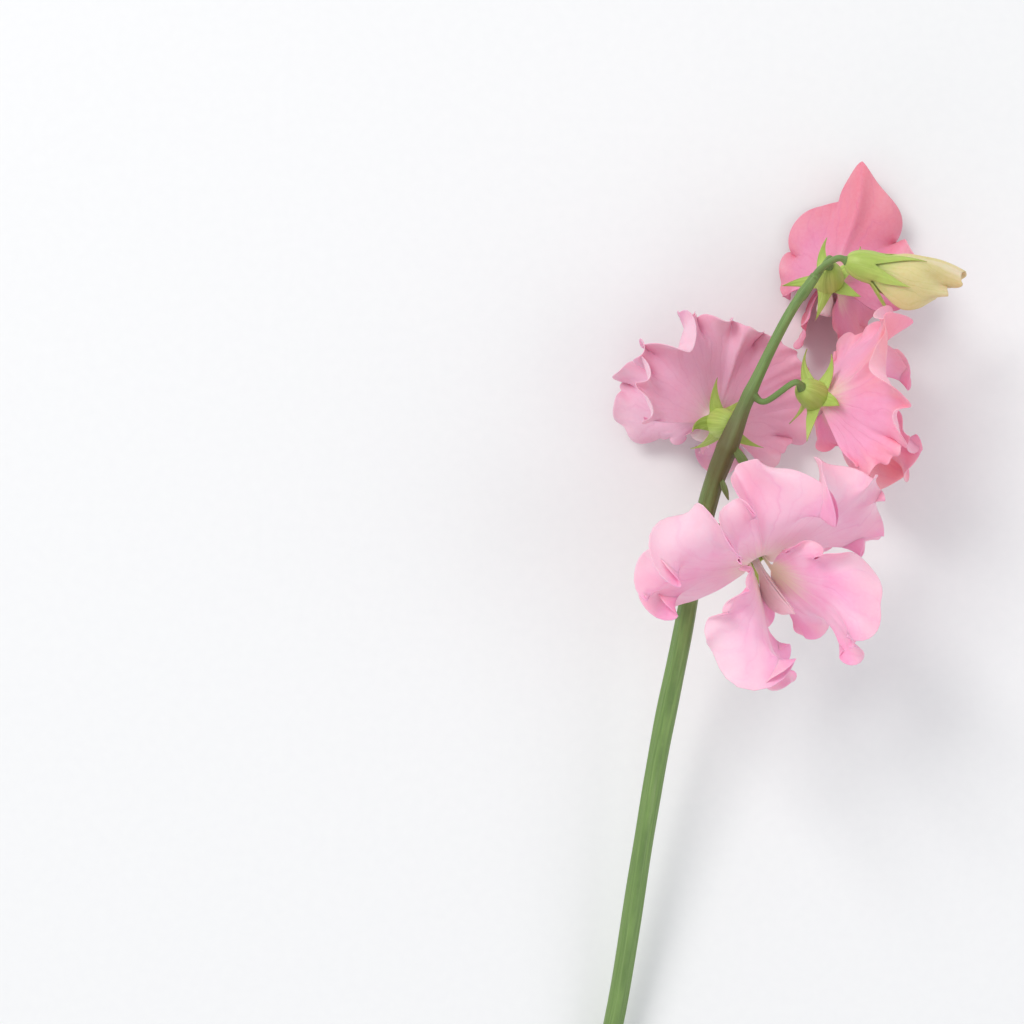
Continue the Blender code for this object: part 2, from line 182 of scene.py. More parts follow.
def pressed(points: Array) -> Array:
    """Bends what would reach below PRESS_FROM along the table: its height falls off as exp(z).

    Args:
        points: places in the row's frame, on the last axis.

    Returns:
        The same places with their heights pressed.
    """
    depth = PRESS_FROM - PRESS_TO
    low = PRESS_TO + depth * np.exp((np.minimum(points[..., 2], PRESS_FROM) - PRESS_FROM) / depth)
    height = np.where(points[..., 2] < PRESS_FROM, low, points[..., 2])
    return np.concatenate([points[..., :2], height[..., None]], axis=-1)


@dataclass(frozen=True)
class Place:
    """Where a flower sits: its base, and its forward, left and up directions as rows."""

    base: Array
    axes: Array

    @classmethod
    def of(cls, base: Sequence[float], forward: Sequence[float], up: Sequence[float]) -> "Place":
        """Makes a place.

        Args:
            base: where the pedicel ends, in mm of the stem's plan.
            forward: the way the keel points.
            up: roughly the way the standard stands; it is squared to forward.

        Returns:
            The place.
        """
        ahead = unit(forward)
        above = np.asarray(up, float)
        above = unit(above - ahead * (above @ ahead))
        axes = np.stack([ahead, np.cross(above, ahead), above])
        return cls(np.asarray(base, float) * MM - ORIGIN, axes)

    def carried(self, points: Array) -> Array:
        """Returns the flower's points in the row's frame, pressed where they meet the table."""
        return pressed(points @ self.axes + self.base)


class Side(Enum):
    """The two sides of a blossom, by the sign of its left axis."""

    LEFT = 1
    RIGHT = -1


class Mesher:
    """Turns grids of points into mesh objects at the origin, and hands each to its body."""

    @staticmethod
    def quads(rows: int, columns: int, around: bool) -> Array:
        """Numbers a grid's quads: each joins a point, its right neighbour and the two above them.

        Args:
            rows: rows of points.
            columns: points in a row.
            around: True if the last column meets the first.

        Returns:
            An array of four corners a face.
        """
        line = np.arange(columns if around else columns - 1)
        i, j = np.meshgrid(np.arange(rows - 1) * columns, line, indexing="ij")
        k = (j + 1) % columns
        return np.stack([i + j, i + k, i + columns + k, i + columns + j], -1).reshape(-1, 4)

    @staticmethod
    def filled(
        name: str, points: Array, faces: list[list[int]], marks: dict[str, Array]
    ) -> bpy.types.Object:
        """Makes a smooth-shaded object.

        Args:
            name: the piece's name.
            points: its points, one a row.
            faces: the numbers of each face's corners.
            marks: one number a point, for each mark that the finish reads.

        Returns:
            The object.
        """
        mesh = bpy.data.meshes.new(name)
        mesh.from_pydata(points.tolist(), [], faces)
        for mark, values in marks.items():
            layer = mesh.attributes.new(mark, "FLOAT", "POINT")
            layer.data.foreach_set("value", np.ascontiguousarray(values, np.float32).ravel())
        mesh.shade_smooth()
        made = bpy.data.objects.new(name, mesh)
        bpy.context.scene.collection.objects.link(made)
        return made

    @classmethod
    def shell(
        cls,
        name: str,
        grid: Array,
        thickness: Array,
        marks: dict[str, Array],
        around: bool = False,
    ) -> bpy.types.Object:
        """A thin closed skin: the grid moved half its thickness each way, and a rim to join both.

        It moves along its normals, each the cross product of the grid's two central differences.

        Args:
            name: the piece's name.
            grid: rows by columns of points of the middle surface.
            thickness: rows by columns.
            marks: numbers that the finish reads, rows by columns each.
            around: True if the last column meets the first.

        Returns:
            The object; its mark "side" is 0 on the inner skin and 1 on the outer.
        """
        rows, columns = grid.shape[:2]
        down = np.gradient(grid, axis=0)
        if around:
            across = (np.roll(grid, -1, axis=1) - np.roll(grid, 1, axis=1)) / 2
        else:
            across = np.gradient(grid, axis=1)
        normal = np.cross(down, across)
        normal /= np.maximum(np.linalg.norm(normal, axis=-1, keepdims=True), 1e-12)
        half = normal * thickness[..., None] / 2
        count = rows * columns
        points = np.concatenate([(grid + half).reshape(-1, 3), (grid - half).reshape(-1, 3)])
        top = cls.quads(rows, columns, around)
        line = np.arange(columns if around else columns - 1)
        after = (line + 1) % columns
        last = (rows - 1) * columns
        edges = [(line, after), (last + after, last + line)]
        if not around:
            step = np.arange(rows - 1) * columns
            edges += [(step + columns, step), (step + columns - 1, step + 2 * columns - 1)]
        rims = [np.stack([a, b, b + count, a + count], -1) for a, b in edges]
        faces = np.concatenate([top[:, ::-1], top + count, *rims])
        doubled = {
            mark: np.tile(np.broadcast_to(values, (rows, columns)).ravel(), 2)
            for mark, values in marks.items()
        }
        doubled["side"] = np.repeat([0.0, 1.0], count)
        return cls.filled(name, points, faces.tolist(), doubled)

    @classmethod
    def tube(
        cls, name: str, line: Array, radius: Array, marks: dict[str, Array]
    ) -> bpy.types.Object:
        """A round solid along a line: rings square to the line, shrinking to a cap at both ends.

        Args:
            name: the piece's name.
            line: points of the centreline.
            radius: points by sides, how far out the skin lies.
            marks: numbers that the finish reads, points by sides each.

        Returns:
            The object; its mark "core" is 1 in the middle of the first cap and 0 on the skin.
        """
        sides = radius.shape[1]
        tangent = np.gradient(line, axis=0)
        tangent /= np.linalg.norm(tangent, axis=1, keepdims=True)
        first = np.empty_like(tangent)
        first[0] = unit(np.cross(tangent[0], [0.13, 0.2, 1.0]))
        for k in range(1, len(line)):  # carries the first direction along with the least twist
            first[k] = unit(first[k - 1] - tangent[k] * (tangent[k] @ first[k - 1]))
        second = np.cross(tangent, first)
        around = turns(sides)[..., None]
        spokes = np.cos(around) * first[:, None] + np.sin(around) * second[:, None]
        rings = line[:, None] + radius[..., None] * spokes
        shrink = np.array(CAP_RINGS)[:, None, None]
        foot = line[0] + (rings[:1] - line[0]) * shrink
        head = line[-1] + (rings[-1:] - line[-1]) * shrink[::-1]
        rings = np.concatenate([foot, rings, head])
        grown = {
            mark: np.pad(np.broadcast_to(values, radius.shape), ((3, 3), (0, 0)), mode="edge")
            for mark, values in marks.items()
        }
        grown["core"] = np.zeros((len(rings), sides))
        grown["core"][:3] = [[1.0], [0.9], [0.3]]
        faces = cls.quads(len(rings), sides, True).tolist()
        last = (len(rings) - 1) * sides
        faces += [list(range(sides))[::-1], list(range(last, last + sides))]
        return cls.filled(name, rings.reshape(-1, 3), faces, grown)

    @staticmethod
    def hand_over(
        piece: bpy.types.Object, finish: bpy.types.Material, slot: str, *nodes: str
    ) -> None:
        """Dresses a piece, lets it ride on the one body, and reports it.

        Args:
            piece: the finished object.
            finish: its material.
            slot: the record's material slot that the finish belongs to; it is not used.
            nodes: the solids that it stands for, if any.
        """
        piece.data.materials.append(finish)
        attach(piece, "root")
        if nodes:
            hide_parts(*nodes)
        places = np.empty(len(piece.data.vertices) * 3)
        piece.data.vertices.foreach_get("co", places)
        places = places.reshape(-1, 3) / MM
        low, high = places.min(0).round(1), places.max(0).round(1)
        LOG.info("%s: %d points, %s to %s mm", piece.name, len(places), low, high)


class Expr:
    """A number in a shader. Arithmetic on it makes the Math nodes."""

    def __init__(self, graph: "Graph", socket: bpy.types.NodeSocket) -> None:
        """Wraps an output socket of the graph's tree."""
        self.graph, self.socket = graph, socket

    def __add__(self, other: Value) -> "Expr":
        """Returns the sum."""
        return self.graph.maths("ADD", self, other)

    __radd__ = __add__

    def __sub__(self, other: Value) -> "Expr":
        """Returns the difference."""
        return self.graph.maths("SUBTRACT", self, other)

    def __rsub__(self, other: Value) -> "Expr":
        """Returns the difference, turned round."""
        return self.graph.maths("SUBTRACT", other, self)

    def __mul__(self, other: Value) -> "Expr":
        """Returns the product."""
        return self.graph.maths("MULTIPLY", self, other)

    __rmul__ = __mul__

    def __pow__(self, other: Value) -> "Expr":
        """Returns the power."""
        return self.graph.maths("POWER", self, other)

    def __abs__(self) -> "Expr":
        """Returns the size without its sign."""
        return self.graph.maths("ABSOLUTE", self)

    def sine(self) -> "Expr":
        """Returns the sine of an angle in radians."""
        return self.graph.maths("SINE", self)

    def held(self) -> "Expr":
        """Returns the number held between 0 and 1."""
        return self.graph.maths("ADD", self, 0.0, clamp=True)

    def between(self, low: float, high: float) -> "Expr":
        """Makes a smooth rise.

        Args:
            low: the number where it is 0.
            high: the number where it is 1.

        Returns:
            The rise.
        """
        inputs = {"Value": self, "From Min": low, "From Max": high}
        made = self.graph.node("ShaderNodeMapRange", {"interpolation_type": "SMOOTHSTEP"}, inputs)
        return Expr(self.graph, made.outputs["Result"])


class Graph:
    """One material's node tree. Every node is made by node()."""

    def __init__(self, name: str) -> None:
        """Starts a material with that name and an empty tree."""
        self.material = bpy.data.materials.new(name)
        self.material.use_nodes = True
        self.tree = self.material.node_tree
        self.tree.nodes.clear()

    def node(
        self, kind: str, settings: dict[str, object], inputs: dict[str | int, object]
    ) -> bpy.types.Node:
        """Makes one node.

        Args:
            kind: the node's type.
            settings: its properties, set first.
            inputs: input name or number to a value, a colour, a socket or an Expr.

        Returns:
            The node.
        """
        made = self.tree.nodes.new(kind)
        for key, value in settings.items():
            setattr(made, key, value)
        for key, value in inputs.items():
            if isinstance(value, Expr):
                value = value.socket
            if isinstance(value, bpy.types.NodeSocket):
                self.tree.links.new(value, made.inputs[key])
            elif isinstance(value, tuple) and made.inputs[key].type == "RGBA":
                made.inputs[key].default_value = (*value, 1.0)
            else:
                made.inputs[key].default_value = value
        return made

    def maths(self, operation: str, *values: Value, clamp: bool = False) -> Expr:
        """Returns the result of one Math node."""
        settings = {"operation": operation, "use_clamp": clamp}
        return Expr(self, self.node("ShaderNodeMath", settings, dict(enumerate(values))).outputs[0])

    def mark(self, name: str) -> Expr:
        """Returns a number that the mesh holds for each point."""
        made = self.node("ShaderNodeAttribute", {"attribute_name": name}, {})
        return Expr(self, made.outputs["Fac"])

    def spot(self) -> bpy.types.NodeSocket:
        """Returns the place in the row's frame, in metres."""
        return self.node("ShaderNodeTexCoord", {}, {}).outputs["Object"]

    def joined(self, x: Value, y: Value, z: Value) -> bpy.types.NodeSocket:
        """Returns a vector of three numbers."""
        return self.node("ShaderNodeCombineXYZ", {}, {"X": x, "Y": y, "Z": z}).outputs[0]

    def noise(
        self, place: bpy.types.NodeSocket, scale: float, detail: float = 2.0, rough: float = 0.5
    ) -> Expr:
        """Returns smooth noise, from 0 to 1 and mostly near 0.5."""
        inputs = {"Vector": place, "Scale": scale, "Detail": detail, "Roughness": rough}
        return Expr(self, self.node("ShaderNodeTexNoise", {}, inputs).outputs[0])

    def blend(
        self,
        share: Value,
        first: Colour | bpy.types.NodeSocket,
        second: Colour | bpy.types.NodeSocket,
    ) -> bpy.types.NodeSocket:
        """Returns the first colour turned into the second by share, which is held from 0 to 1."""
        settings = {"data_type": "RGBA", "blend_type": "MIX", "clamp_factor": True}
        return self.node("ShaderNodeMix", settings, {0: share, 6: first, 7: second}).outputs[2]

    def bumped(self, height: Expr, strength: float, depth: float) -> bpy.types.NodeSocket:
        """Returns a normal that leans with the height; depth is in metres."""
        inputs = {"Strength": strength, "Distance": depth, "Height": height}
        return self.node("ShaderNodeBump", {}, inputs).outputs[0]

    def shaded(self, inputs: dict[str, object]) -> bpy.types.Material:
        """Ends the tree in a Principled shader.

        Args:
            inputs: input name to a value, a colour, a socket or an Expr.

        Returns:
            The material.
        """
        shader = self.node("ShaderNodeBsdfPrincipled", {"subsurface_method": "RANDOM_WALK"}, inputs)
        self.node("ShaderNodeOutputMaterial", {}, {"Surface": shader.outputs[0]})
        return self.material


@dataclass(frozen=True)
class PetalFinish:
    """A thin, soft, translucent petal: pale at its claw, veined, and flushed towards its margin.

    The colour runs from throat to body by how far out a point lies, patches of a deeper pink cloud
    it, fine veins fan out from the claw, and the rim tint comes in unevenly at the margin. The same
    deeper pink is painted shade in the hollows between folds, crests take a paler painted highlight,
    and the petal's back has a colour of its own.
    """

    name: str
    throat: Colour
    body: Colour
    # a deeper pink in cloudy patches, and also the painted shade in the hollows between folds
    flush_and_fold_shade: Colour
    rim: Colour
    vein: Colour
    back: Colour
    throat_end: float = 0.34
    flush_share: float = 0.55
    rim_share: float = 0.6
    rim_start: float = 0.62
    vein_share: float = 0.30
    back_share: float = 0.35
    vein_count: float = 34.0
    ridge: Colour = (0.97, 0.33, 0.40)  # along the midline, on the petals that fold there
    ridge_share: float = 0.0
    crest: Colour = (1.0, 0.86, 0.90)  # where folds catch the light
    bloom: Colour = (1.0, 0.90, 0.93)  # the fine velvety grain
    glow: float = 0.32

    def veins(self, g: Graph, fan: Expr, reach: Expr) -> Expr:
        """Lines that fan out and wander: thin crests of sin(count a + noise), and more further out.

        Args:
            g: the material's nodes.
            fan: the angle of each point's ray.
            reach: how far along its ray it lies, from 0 to 1.

        Returns:
            1 on a vein and 0 off it.
        """
        wander = g.noise(g.joined(fan * 3.2, reach * 3.0, 0.0), 1.0, 3.0) * 7.0
        main = (1.0 - abs((fan * (self.vein_count * 0.5) + wander).sine())) ** 7.0
        more = (1.0 - abs((fan * self.vein_count + wander * 1.6 + 1.1).sine())) ** 6.0
        return (main * (1.15 - reach * 0.6) + more * reach.between(0.35, 0.7) * 0.55).held()

    def material(self) -> bpy.types.Material:
        """Makes the material.

        Returns:
            The material.
        """
        g = Graph(self.name)
        fan, reach, side, crest = (g.mark(m) for m in ("fan", "reach", "side", "crest"))
        spot = g.spot()
        cloud = g.noise(spot, 62.0, 3.0, 0.55)
        fine = g.noise(spot, 1400.0, 3.0, 0.6)
        streak = g.noise(g.joined(fan * 15.0, reach * 1.6, 3.0), 1.0, 4.0, 0.6)
        veins = self.veins(g, fan, reach)
        out = reach + (streak - 0.5) * 0.26
        colour = g.blend(out.between(0.06, self.throat_end), self.throat, self.body)
        clouded = cloud.between(0.38, 0.66) * out.between(0.2, 0.6) * self.flush_share
        colour = g.blend(clouded, colour, self.flush_and_fold_shade)
        rim = (out + (cloud - 0.5) * 0.5).between(self.rim_start, 1.04)
        colour = g.blend(rim * self.rim_share, colour, self.rim)
        colour = g.blend(side * self.back_share * (0.6 + streak * 0.8), colour, self.back)
        if self.ridge_share:
            near = (1.25 - abs(fan) * 2.6 + (streak - 0.5) * 1.2).held()
            ridge = near * reach.between(0.18, 0.7) * self.ridge_share
            colour = g.blend(ridge, colour, self.ridge)
        # painted shade: hollows between folds, where the crest mark falls below zero, are darkened
        # towards the deeper pink
        colour = g.blend((0.0 - crest).between(0.05, 1.0) * 0.6, colour, self.flush_and_fold_shade)
        colour = g.blend(veins * self.vein_share, colour, self.vein)
        # painted highlight: the crests of folds are made paler, where they would catch the light
        colour = g.blend(crest.between(0.1, 1.0) * 0.22, colour, self.crest)
        colour = g.blend((fine - 0.5) * 0.16 + 0.05, colour, self.bloom)
        height = streak * 0.55 - veins * 0.35 + fine * 0.07
        return g.shaded(
            {
                "Base Color": colour,
                "Roughness": 0.5 + fine * 0.14,
                "Normal": g.bumped(height, 0.35, 0.35 * MM),
                "Subsurface Weight": self.glow,
                "Subsurface Radius": (1.0, 0.42, 0.5),
                "Subsurface Scale": 1.1 * MM,
                "Sheen Weight": 0.12,
                "Sheen Roughness": 0.4,
                "Specular IOR Level": 0.35,
            }
        )


@dataclass(frozen=True)
class GreenFinish:
    """Fresh green skin, streaked lengthwise, browned where the mark "warm" says, pale in a cut."""

    name: str
    low: Colour
    high: Colour
    warm: Colour
    pale: Colour
    pith: Colour = (0.52, 0.60, 0.30)
    streaks: float = 30.0
    roughness: float = 0.42
    glow: float = 0.12

    def material(self) -> bpy.types.Material:
        """Makes the material.

        Returns:
            The material.
        """
        g = Graph(self.name)
        around, along, warm, core = (g.mark(m) for m in ("around", "along", "warm", "core"))
        spot = g.spot()
        streak = g.noise(g.joined(around * self.streaks * 0.5, along * 1.1, 0.0), 1.0, 5.0, 0.6)
        line = g.noise(g.joined(around * self.streaks * 1.4, along * 0.6, 7.0), 1.0, 2.0, 0.5)
        cloud = g.noise(spot, 90.0, 3.0)
        fine = g.noise(spot, 1900.0, 2.0)
        colour = g.blend(streak.between(0.3, 0.7), self.low, self.high)
        colour = g.blend(line.between(0.52, 0.72) * 0.45, colour, self.pale)
        colour = g.blend((cloud.between(0.35, 0.7) * 0.35 + 0.65) * warm, colour, self.warm)
        colour = g.blend(core.between(0.2, 0.8), colour, self.pith)
        height = streak * 0.6 + line * 0.5 + fine * 0.15
        return g.shaded(
            {
                "Base Color": colour,
                "Roughness": self.roughness + fine * 0.16,
                "Normal": g.bumped(height, 0.5, 0.25 * MM),
                "Subsurface Weight": self.glow,
                "Subsurface Radius": (0.5, 0.9, 0.25),
                "Subsurface Scale": 0.9 * MM,
                "Specular IOR Level": 0.45,
            }
        )


@dataclass(frozen=True)
class Stalk:
    """The stalk: ridged, thick at its cut end, swollen and browned where the pedicels leave it."""

    # The route's x, y, z and radius are in mm of the stem's plan, from the cut end to the tip.
    route: tuple[tuple[float, float, float, float], ...] = (
        (-43.0, -157.0, 2.35, 2.16),
        (-37.0, -122.0, 3.8, 2.2),
        (-30.4, -92.0, 7.0, 2.2),
        (-25.0, -56.5, 12.2, 2.15),
        (-21.0, -31.5, 16.6, 2.25),
        (-16.7, -8.7, 20.8, 2.2),
        (-13.0, 13.0, 24.4, 2.0),
        (-10.6, 24.0, 26.2, 2.1),
        (-7.4, 33.0, 27.6, 2.3),
        (-2.6, 44.6, 28.8, 1.42),
        (5.4, 60.9, 29.8, 1.12),
        (11.5, 70.0, 30.2, 1.05),
    )
    nodes: tuple[float, ...] = (6.25, 8.0, 9.0, 10.55)  # places, counted in the route's points
    # The place, width and share of each brown patch.
    browned: tuple[tuple[float, float, float], ...] = (
        (8.2, 0.7, 0.9),
        (7.2, 0.6, 0.62),
        (6.4, 0.4, 0.4),
    )
    ridges: int = 5
    ridge_depth: float = 0.045
    swell: float = 0.16 * MM
    swell_width: float = 0.12
    skin: float = 0.985  # the share of the route's radius that the ridges vary about
    points: int = 460
    sides: int = 48

    def at(self, place: float) -> tuple[Array, float, Array]:
        """Finds a place on the stalk.

        Args:
            place: how far along the route, counted in its points.

        Returns:
            Its centre and radius, in metres of the plan, and the stalk's direction there.
        """
        here = curve_at(self.route, place)[0] * MM
        ends = curve_at(self.route, [place - 0.1, min(place + 0.1, len(self.route) - 1)])
        return here[:3], float(here[3]), unit(ends[1, :3] - ends[0, :3])

    def build(self, finish: bpy.types.Material) -> None:
        """Makes the stalk.

        Its radius is the route's, times 1 + depth cos(ridges a) and a slow wobble along it, plus a
        hump at each node.

        Args:
            finish: its material.
        """
        along = np.linspace(0, len(self.route) - 1, self.points)
        line = curve_at(self.route, along) * MM
        around, place = turns(self.sides), along[:, None]
        swell = sum(hump(place, node, self.swell_width) for node in self.nodes) * self.swell
        ridge = 1 + self.ridge_depth * np.cos(self.ridges * around + 0.9 * place)
        ridge = ridge + 0.02 * np.sin(9 * around - 0.5 * place)
        wobble = 1 + 0.02 * np.sin(3.1 * place + 0.4) + 0.012 * np.sin(7.7 * place)
        radius = line[:, 3:4] * ridge * wobble * self.skin + swell
        warm = sum(share * hump(place, where, width) for where, width, share in self.browned)
        marks = {
            "around": np.cos(around) + 0.5 * np.sin(2 * around),
            "along": place * 1.7,
            "warm": np.clip(warm, 0, 1),
        }
        piece = Mesher.tube("stalk", line[:, :3] - ORIGIN, radius, marks)
        Mesher.hand_over(piece, finish, "stem_green", "stem")


@dataclass(frozen=True)
class Pedicel:
    """The short stalk of one flower: out of the stalk, over in an arch and into the calyx."""

    node: float
    radius: float = 0.68 * MM
    foot: float = 0.42 * MM  # how much thicker it is where it leaves the stalk
    head: float = 0.5 * MM  # and where it meets the calyx
    sunk: float = 0.7 * MM  # how deep it starts in the stalk
    sides: int = 20
    points: int = 46

    def build(
        self, name: str, stalk: Stalk, place: Place, finish: bpy.types.Material, replaced: str
    ) -> None:
        """Makes it on a curve through four points.

        They lie in the stalk, beside it, behind the calyx and in the calyx's base.

        Args:
            name: the piece's name.
            stalk: what it grows from.
            place: the flower's place.
            finish: its material.
            replaced: the solid that it stands for.
        """
        start, radius, along = stalk.at(self.node)
        start = start - ORIGIN
        forward, end = place.axes[0], place.base
        away = end - start
        if self.node == len(stalk.route) - 1:  # the bud's goes on from the stalk's tip
            square, clear, sunk = along, 0.0, -0.8 * MM
        else:
            square, clear, sunk = unit(away - along * (away @ along)), radius, radius - self.sunk
        reach = float(np.linalg.norm(away))
        line = np.array(
            [
                start + square * sunk,
                start + square * (clear + 0.22 * reach),
                end - forward * (0.3 * MM + 0.25 * reach),
                end + forward * 0.35 * MM,
            ]
        )
        line = curve_at(line, np.linspace(0, 3, self.points))
        t = np.linspace(0, 1, self.points)[:, None]
        around = turns(self.sides)
        width = self.radius + self.foot * hump(t, 0.0, 0.12) + self.head * ramp(0.8, 1.0, t)
        marks = {"around": np.cos(around), "along": t * 2.0, "warm": 0.25 * hump(t, 0.0, 0.2)}
        piece = Mesher.tube(name, line, width * (1 + 0.05 * np.cos(4 * around + 2 * t)), marks)
        Mesher.hand_over(piece, finish, "stem_green", replaced)


@dataclass(frozen=True)
class Bract:
    """A small pointed leaf that stands off a node of the stalk. Lengths are in mm."""

    node: float
    direction: tuple[float, float, float]
    length: float
    width: float
    rows: int = 34
    columns: int = 15

    def build(self, name: str, stalk: Stalk, finish: bpy.types.Material) -> None:
        """Makes it: its width is (1 - t) to the 0.8 times (0.45 + 1.8 t), and it folds and bows.

        Args:
            name: the piece's name.
            stalk: what it grows from.
            finish: its material.
        """
        centre, radius, along = stalk.at(self.node)
        ahead = unit(self.direction)
        aside = unit(ahead - along * (ahead @ along))
        across = unit(np.cross(ahead, [0.0, 0.0, 1.0]))
        up = np.cross(across, ahead)
        t = np.linspace(0, 1, self.rows)[:, None]
        s = np.linspace(-1, 1, self.columns)[None, :]
        half = 0.5 * self.width * (1 - t) ** 0.8 * (0.45 + 1.8 * t) + 0.05
        lift = 0.45 * half * np.abs(s) ** 1.4 - 0.9 * t**2 + 0.12 * np.sin(9 * t + 2 * s) * t
        start = centre - ORIGIN + aside * radius * 0.75
        grid = (self.length * t)[..., None] * ahead + (half * s)[..., None] * across
        grid = start + MM * (grid + lift[..., None] * up)
        marks = {
            "around": s * 1.2,
            "along": t * 1.5,
            "warm": 0.55 + 0.35 * ramp(0.5, 1.0, t),
            "core": 0 * t,
        }
        piece = Mesher.shell(name, grid, (0.4 - 0.22 * t + 0 * s) * MM, marks)
        Mesher.hand_over(piece, finish, "stem_green")


@dataclass(frozen=True)
class Calyx:
    """The green cup and its five long pointed teeth."""

    length: float = CUP_LENGTH
    radius: float = 3.15 * MM
    neck: float = 0.95 * MM  # the cup's radius where the pedicel meets it
    wall: float = 0.4 * MM
    rib: float = 0.07 * MM
    tooth: float = 7.6 * MM
    teeth: int = 5
    spread: float = 92.0  # how far a tooth turns out of the axis, in degrees
    forward: float = 60.0  # how much less the lowest tooth turns
    over_petals: float = 0.62 * MM  # how far outside the bud's petals its teeth lie
    closed: bool = False  # True on the bud, where the teeth lie along the petals
    taper: float = 1.7  # 1 makes straight-sided teeth, more makes them narrow
    phase: float = 0.0
    cup_share: float = 0.42  # the share of the rows that lies in the cup
    columns: int = 34  # for each tooth
    rows: int = 64

    def lie(self, around: Array, out: Array) -> tuple[Array, Array]:
        """Where a tooth's middle surface runs beyond the rim.

        On an open flower the upper teeth spread flat behind the standard and curl at their tips,
        and the lowest one points forwards. On a bud they follow the petals inside.

        Args:
            around: the angle of each point about the axis, 0 at the top.
            out: how far past the rim the point lies.

        Returns:
            How far ahead and how far out of the axis each point lies.
        """
        if self.closed:
            ahead = self.length + out
            petals = Bud.radius_at(around, ahead)
            return ahead, np.maximum(self.radius + 0.1 * out, petals + self.over_petals)
        lowest = ramp(0.0, 1.0, (-np.cos(around) - 0.55) / 0.4)
        share = out / self.tooth
        curl = 12 * share * np.sin(2 * around + 2.1 * self.phase)
        curl = curl + 7 * np.sin(3 * around + self.phase)
        turn = np.radians(self.spread - self.forward * lowest + share * (14 + curl))
        return self.length - 0.1 * MM + out * np.cos(turn), self.radius + out * np.sin(turn)

    def build(
        self, name: str, place: Place, finish: bpy.types.Material, replaced: str
    ) -> None:
        """Makes the calyx.

        Each column runs up the cup, whose radius rises as the quarter of a superellipse, and on
        into its tooth by a length that falls to nothing at the notches. Columns draw together
        towards a tip.

        Args:
            name: the piece's name.
            place: the flower's place.
            finish: its material.
            replaced: the solid that it stands for.
        """
        sector = 2 * math.pi / self.teeth
        column = np.arange(self.columns * self.teeth)[None, :]
        step = column / self.columns
        middle = np.floor(step + 0.5)
        off = (step - middle) * 2  # -1 to 1 across a tooth
        around = (step + 0.5) * sector
        centre = (middle + 0.5) * sector
        row = np.linspace(0, 1, self.rows)[:, None]
        cup = np.clip(row / self.cup_share, 0, 1)
        past = np.clip((row - self.cup_share) / (1 - self.cup_share), 0, 1)
        uneven = 0.92 + 0.12 * np.cos(centre + self.phase)
        uneven = uneven + 0.08 * np.sin(2 * centre + 3 * self.phase)
        out = past * ((1 - np.abs(off)) ** self.taper * uneven * self.tooth + 0.15 * MM)
        ahead_cup = self.length * cup**1.35
        radius_cup = self.neck + (self.radius - self.neck) * (1 - (1 - cup) ** 1.8) ** 0.72
        ahead_tooth, radius_tooth = self.lie(around, out)
        in_tooth = past > 0
        ahead = np.where(in_tooth, ahead_tooth, ahead_cup)
        radius = np.where(in_tooth, radius_tooth, radius_cup)
        draw = 1 - 0.72 * np.clip(out / self.tooth, 0, 1) ** 0.8
        turned = centre + (around - centre) * np.where(in_tooth, draw, 1.0)
        rib = self.rib * hump(off, 0.0, 0.16) * ramp(0.1, 0.5, row) * (1 - 0.5 * past)
        if not self.closed:
            swerve = np.sin(2 * centre + 1.9 * self.phase)
            turned = turned + 0.3 * (out / self.tooth) ** 1.5 * swerve
            rib = rib * np.where(in_tooth, 0.2, 1.0)
        radius = radius + rib
        grid = across_axis(ahead, radius, turned)
        edge = np.abs(off) * ramp(0.4, 0.6, row)
        thick = self.wall * (1 - 0.45 * past) * (1 - 0.4 * edge)
        marks = {
            "around": 1.5 * np.cos(around) + np.sin(2 * around),
            "along": row * 1.3,
            "warm": 0.55 * ramp(0.75, 1.0, past) * (1 - np.abs(off)),
            "core": 0 * row * off,
        }
        thick = np.broadcast_to(thick, grid.shape[:2])
        piece = Mesher.shell(name, place.carried(grid), thick, marks, around=True)
        Mesher.hand_over(piece, finish, "calyx_green", replaced)


@dataclass(frozen=True)
class Frill:
    """How a margin ruffles: swing is in degrees, count in waves a radian times two pi."""

    count: float
    swing: float
    start: float
    overhang: float = 0.75  # 1 stands each fold's flank upright

    def run(self, angle: Array, phase: float) -> Array:
        """Returns the wave's own angle, which wanders so that no two folds are as wide."""
        wander = 0.9 * np.sin(2.3 * angle + phase) + 0.6 * np.sin(5.1 * angle - 2 * phase)
        return self.count * angle + wander + 3 * phase

    def scallops(self, angle: Array, phase: float) -> Array:
        """Returns the wave that the margin's length follows, which leads the fold's by 1.1."""
        return np.sin(self.run(angle, phase) + 1.1)

    def folds(self, angle: Array, blade: Array, phase: float) -> tuple[Array, Array]:
        """Works out the folds, which grow from start to the margin.

        The slope is swing sin(count a + wander). The sway is a quarter wave off it, so that folds
        lean over: a cosine of the same angle, over count.

        Args:
            angle: each ray's angle.
            blade: how far along its ray each point lies, from 0 to 1.
            phase: shifts the wave.

        Returns:
            Degrees to add to each ray's slope, and radians to slide a point along the margin.
        """
        run = self.run(angle, phase)
        grown = ramp(self.start, 1.0, blade)
        strength = 0.8 + 0.35 * np.sin(1.9 * angle + 1.3 * phase + self.count)
        slope = self.swing * strength * grown**1.3 * np.sin(run)
        return slope, -self.overhang / self.count * grown**2 * np.cos(run)


class Margin(Enum):
    """How a standard's margin ruffles: its frills, from the largest to the finest."""

    OPEN = (Frill(9.5, 40.0, 0.42), Frill(21.0, 46.0, 0.58, 1.1), Frill(46.0, 26.0, 0.84, 0.6))
    YOUNG = (Frill(9.5, 40.0, 0.42), Frill(21.0, 20.0, 0.68, 0.6))
    FULL = (
        Frill(6.6, 62.0, 0.16, 0.75),
        Frill(12.5, 58.0, 0.40, 1.2),
        Frill(25.0, 50.0, 0.62, 1.1),
        Frill(50.0, 26.0, 0.86, 0.6),
    )


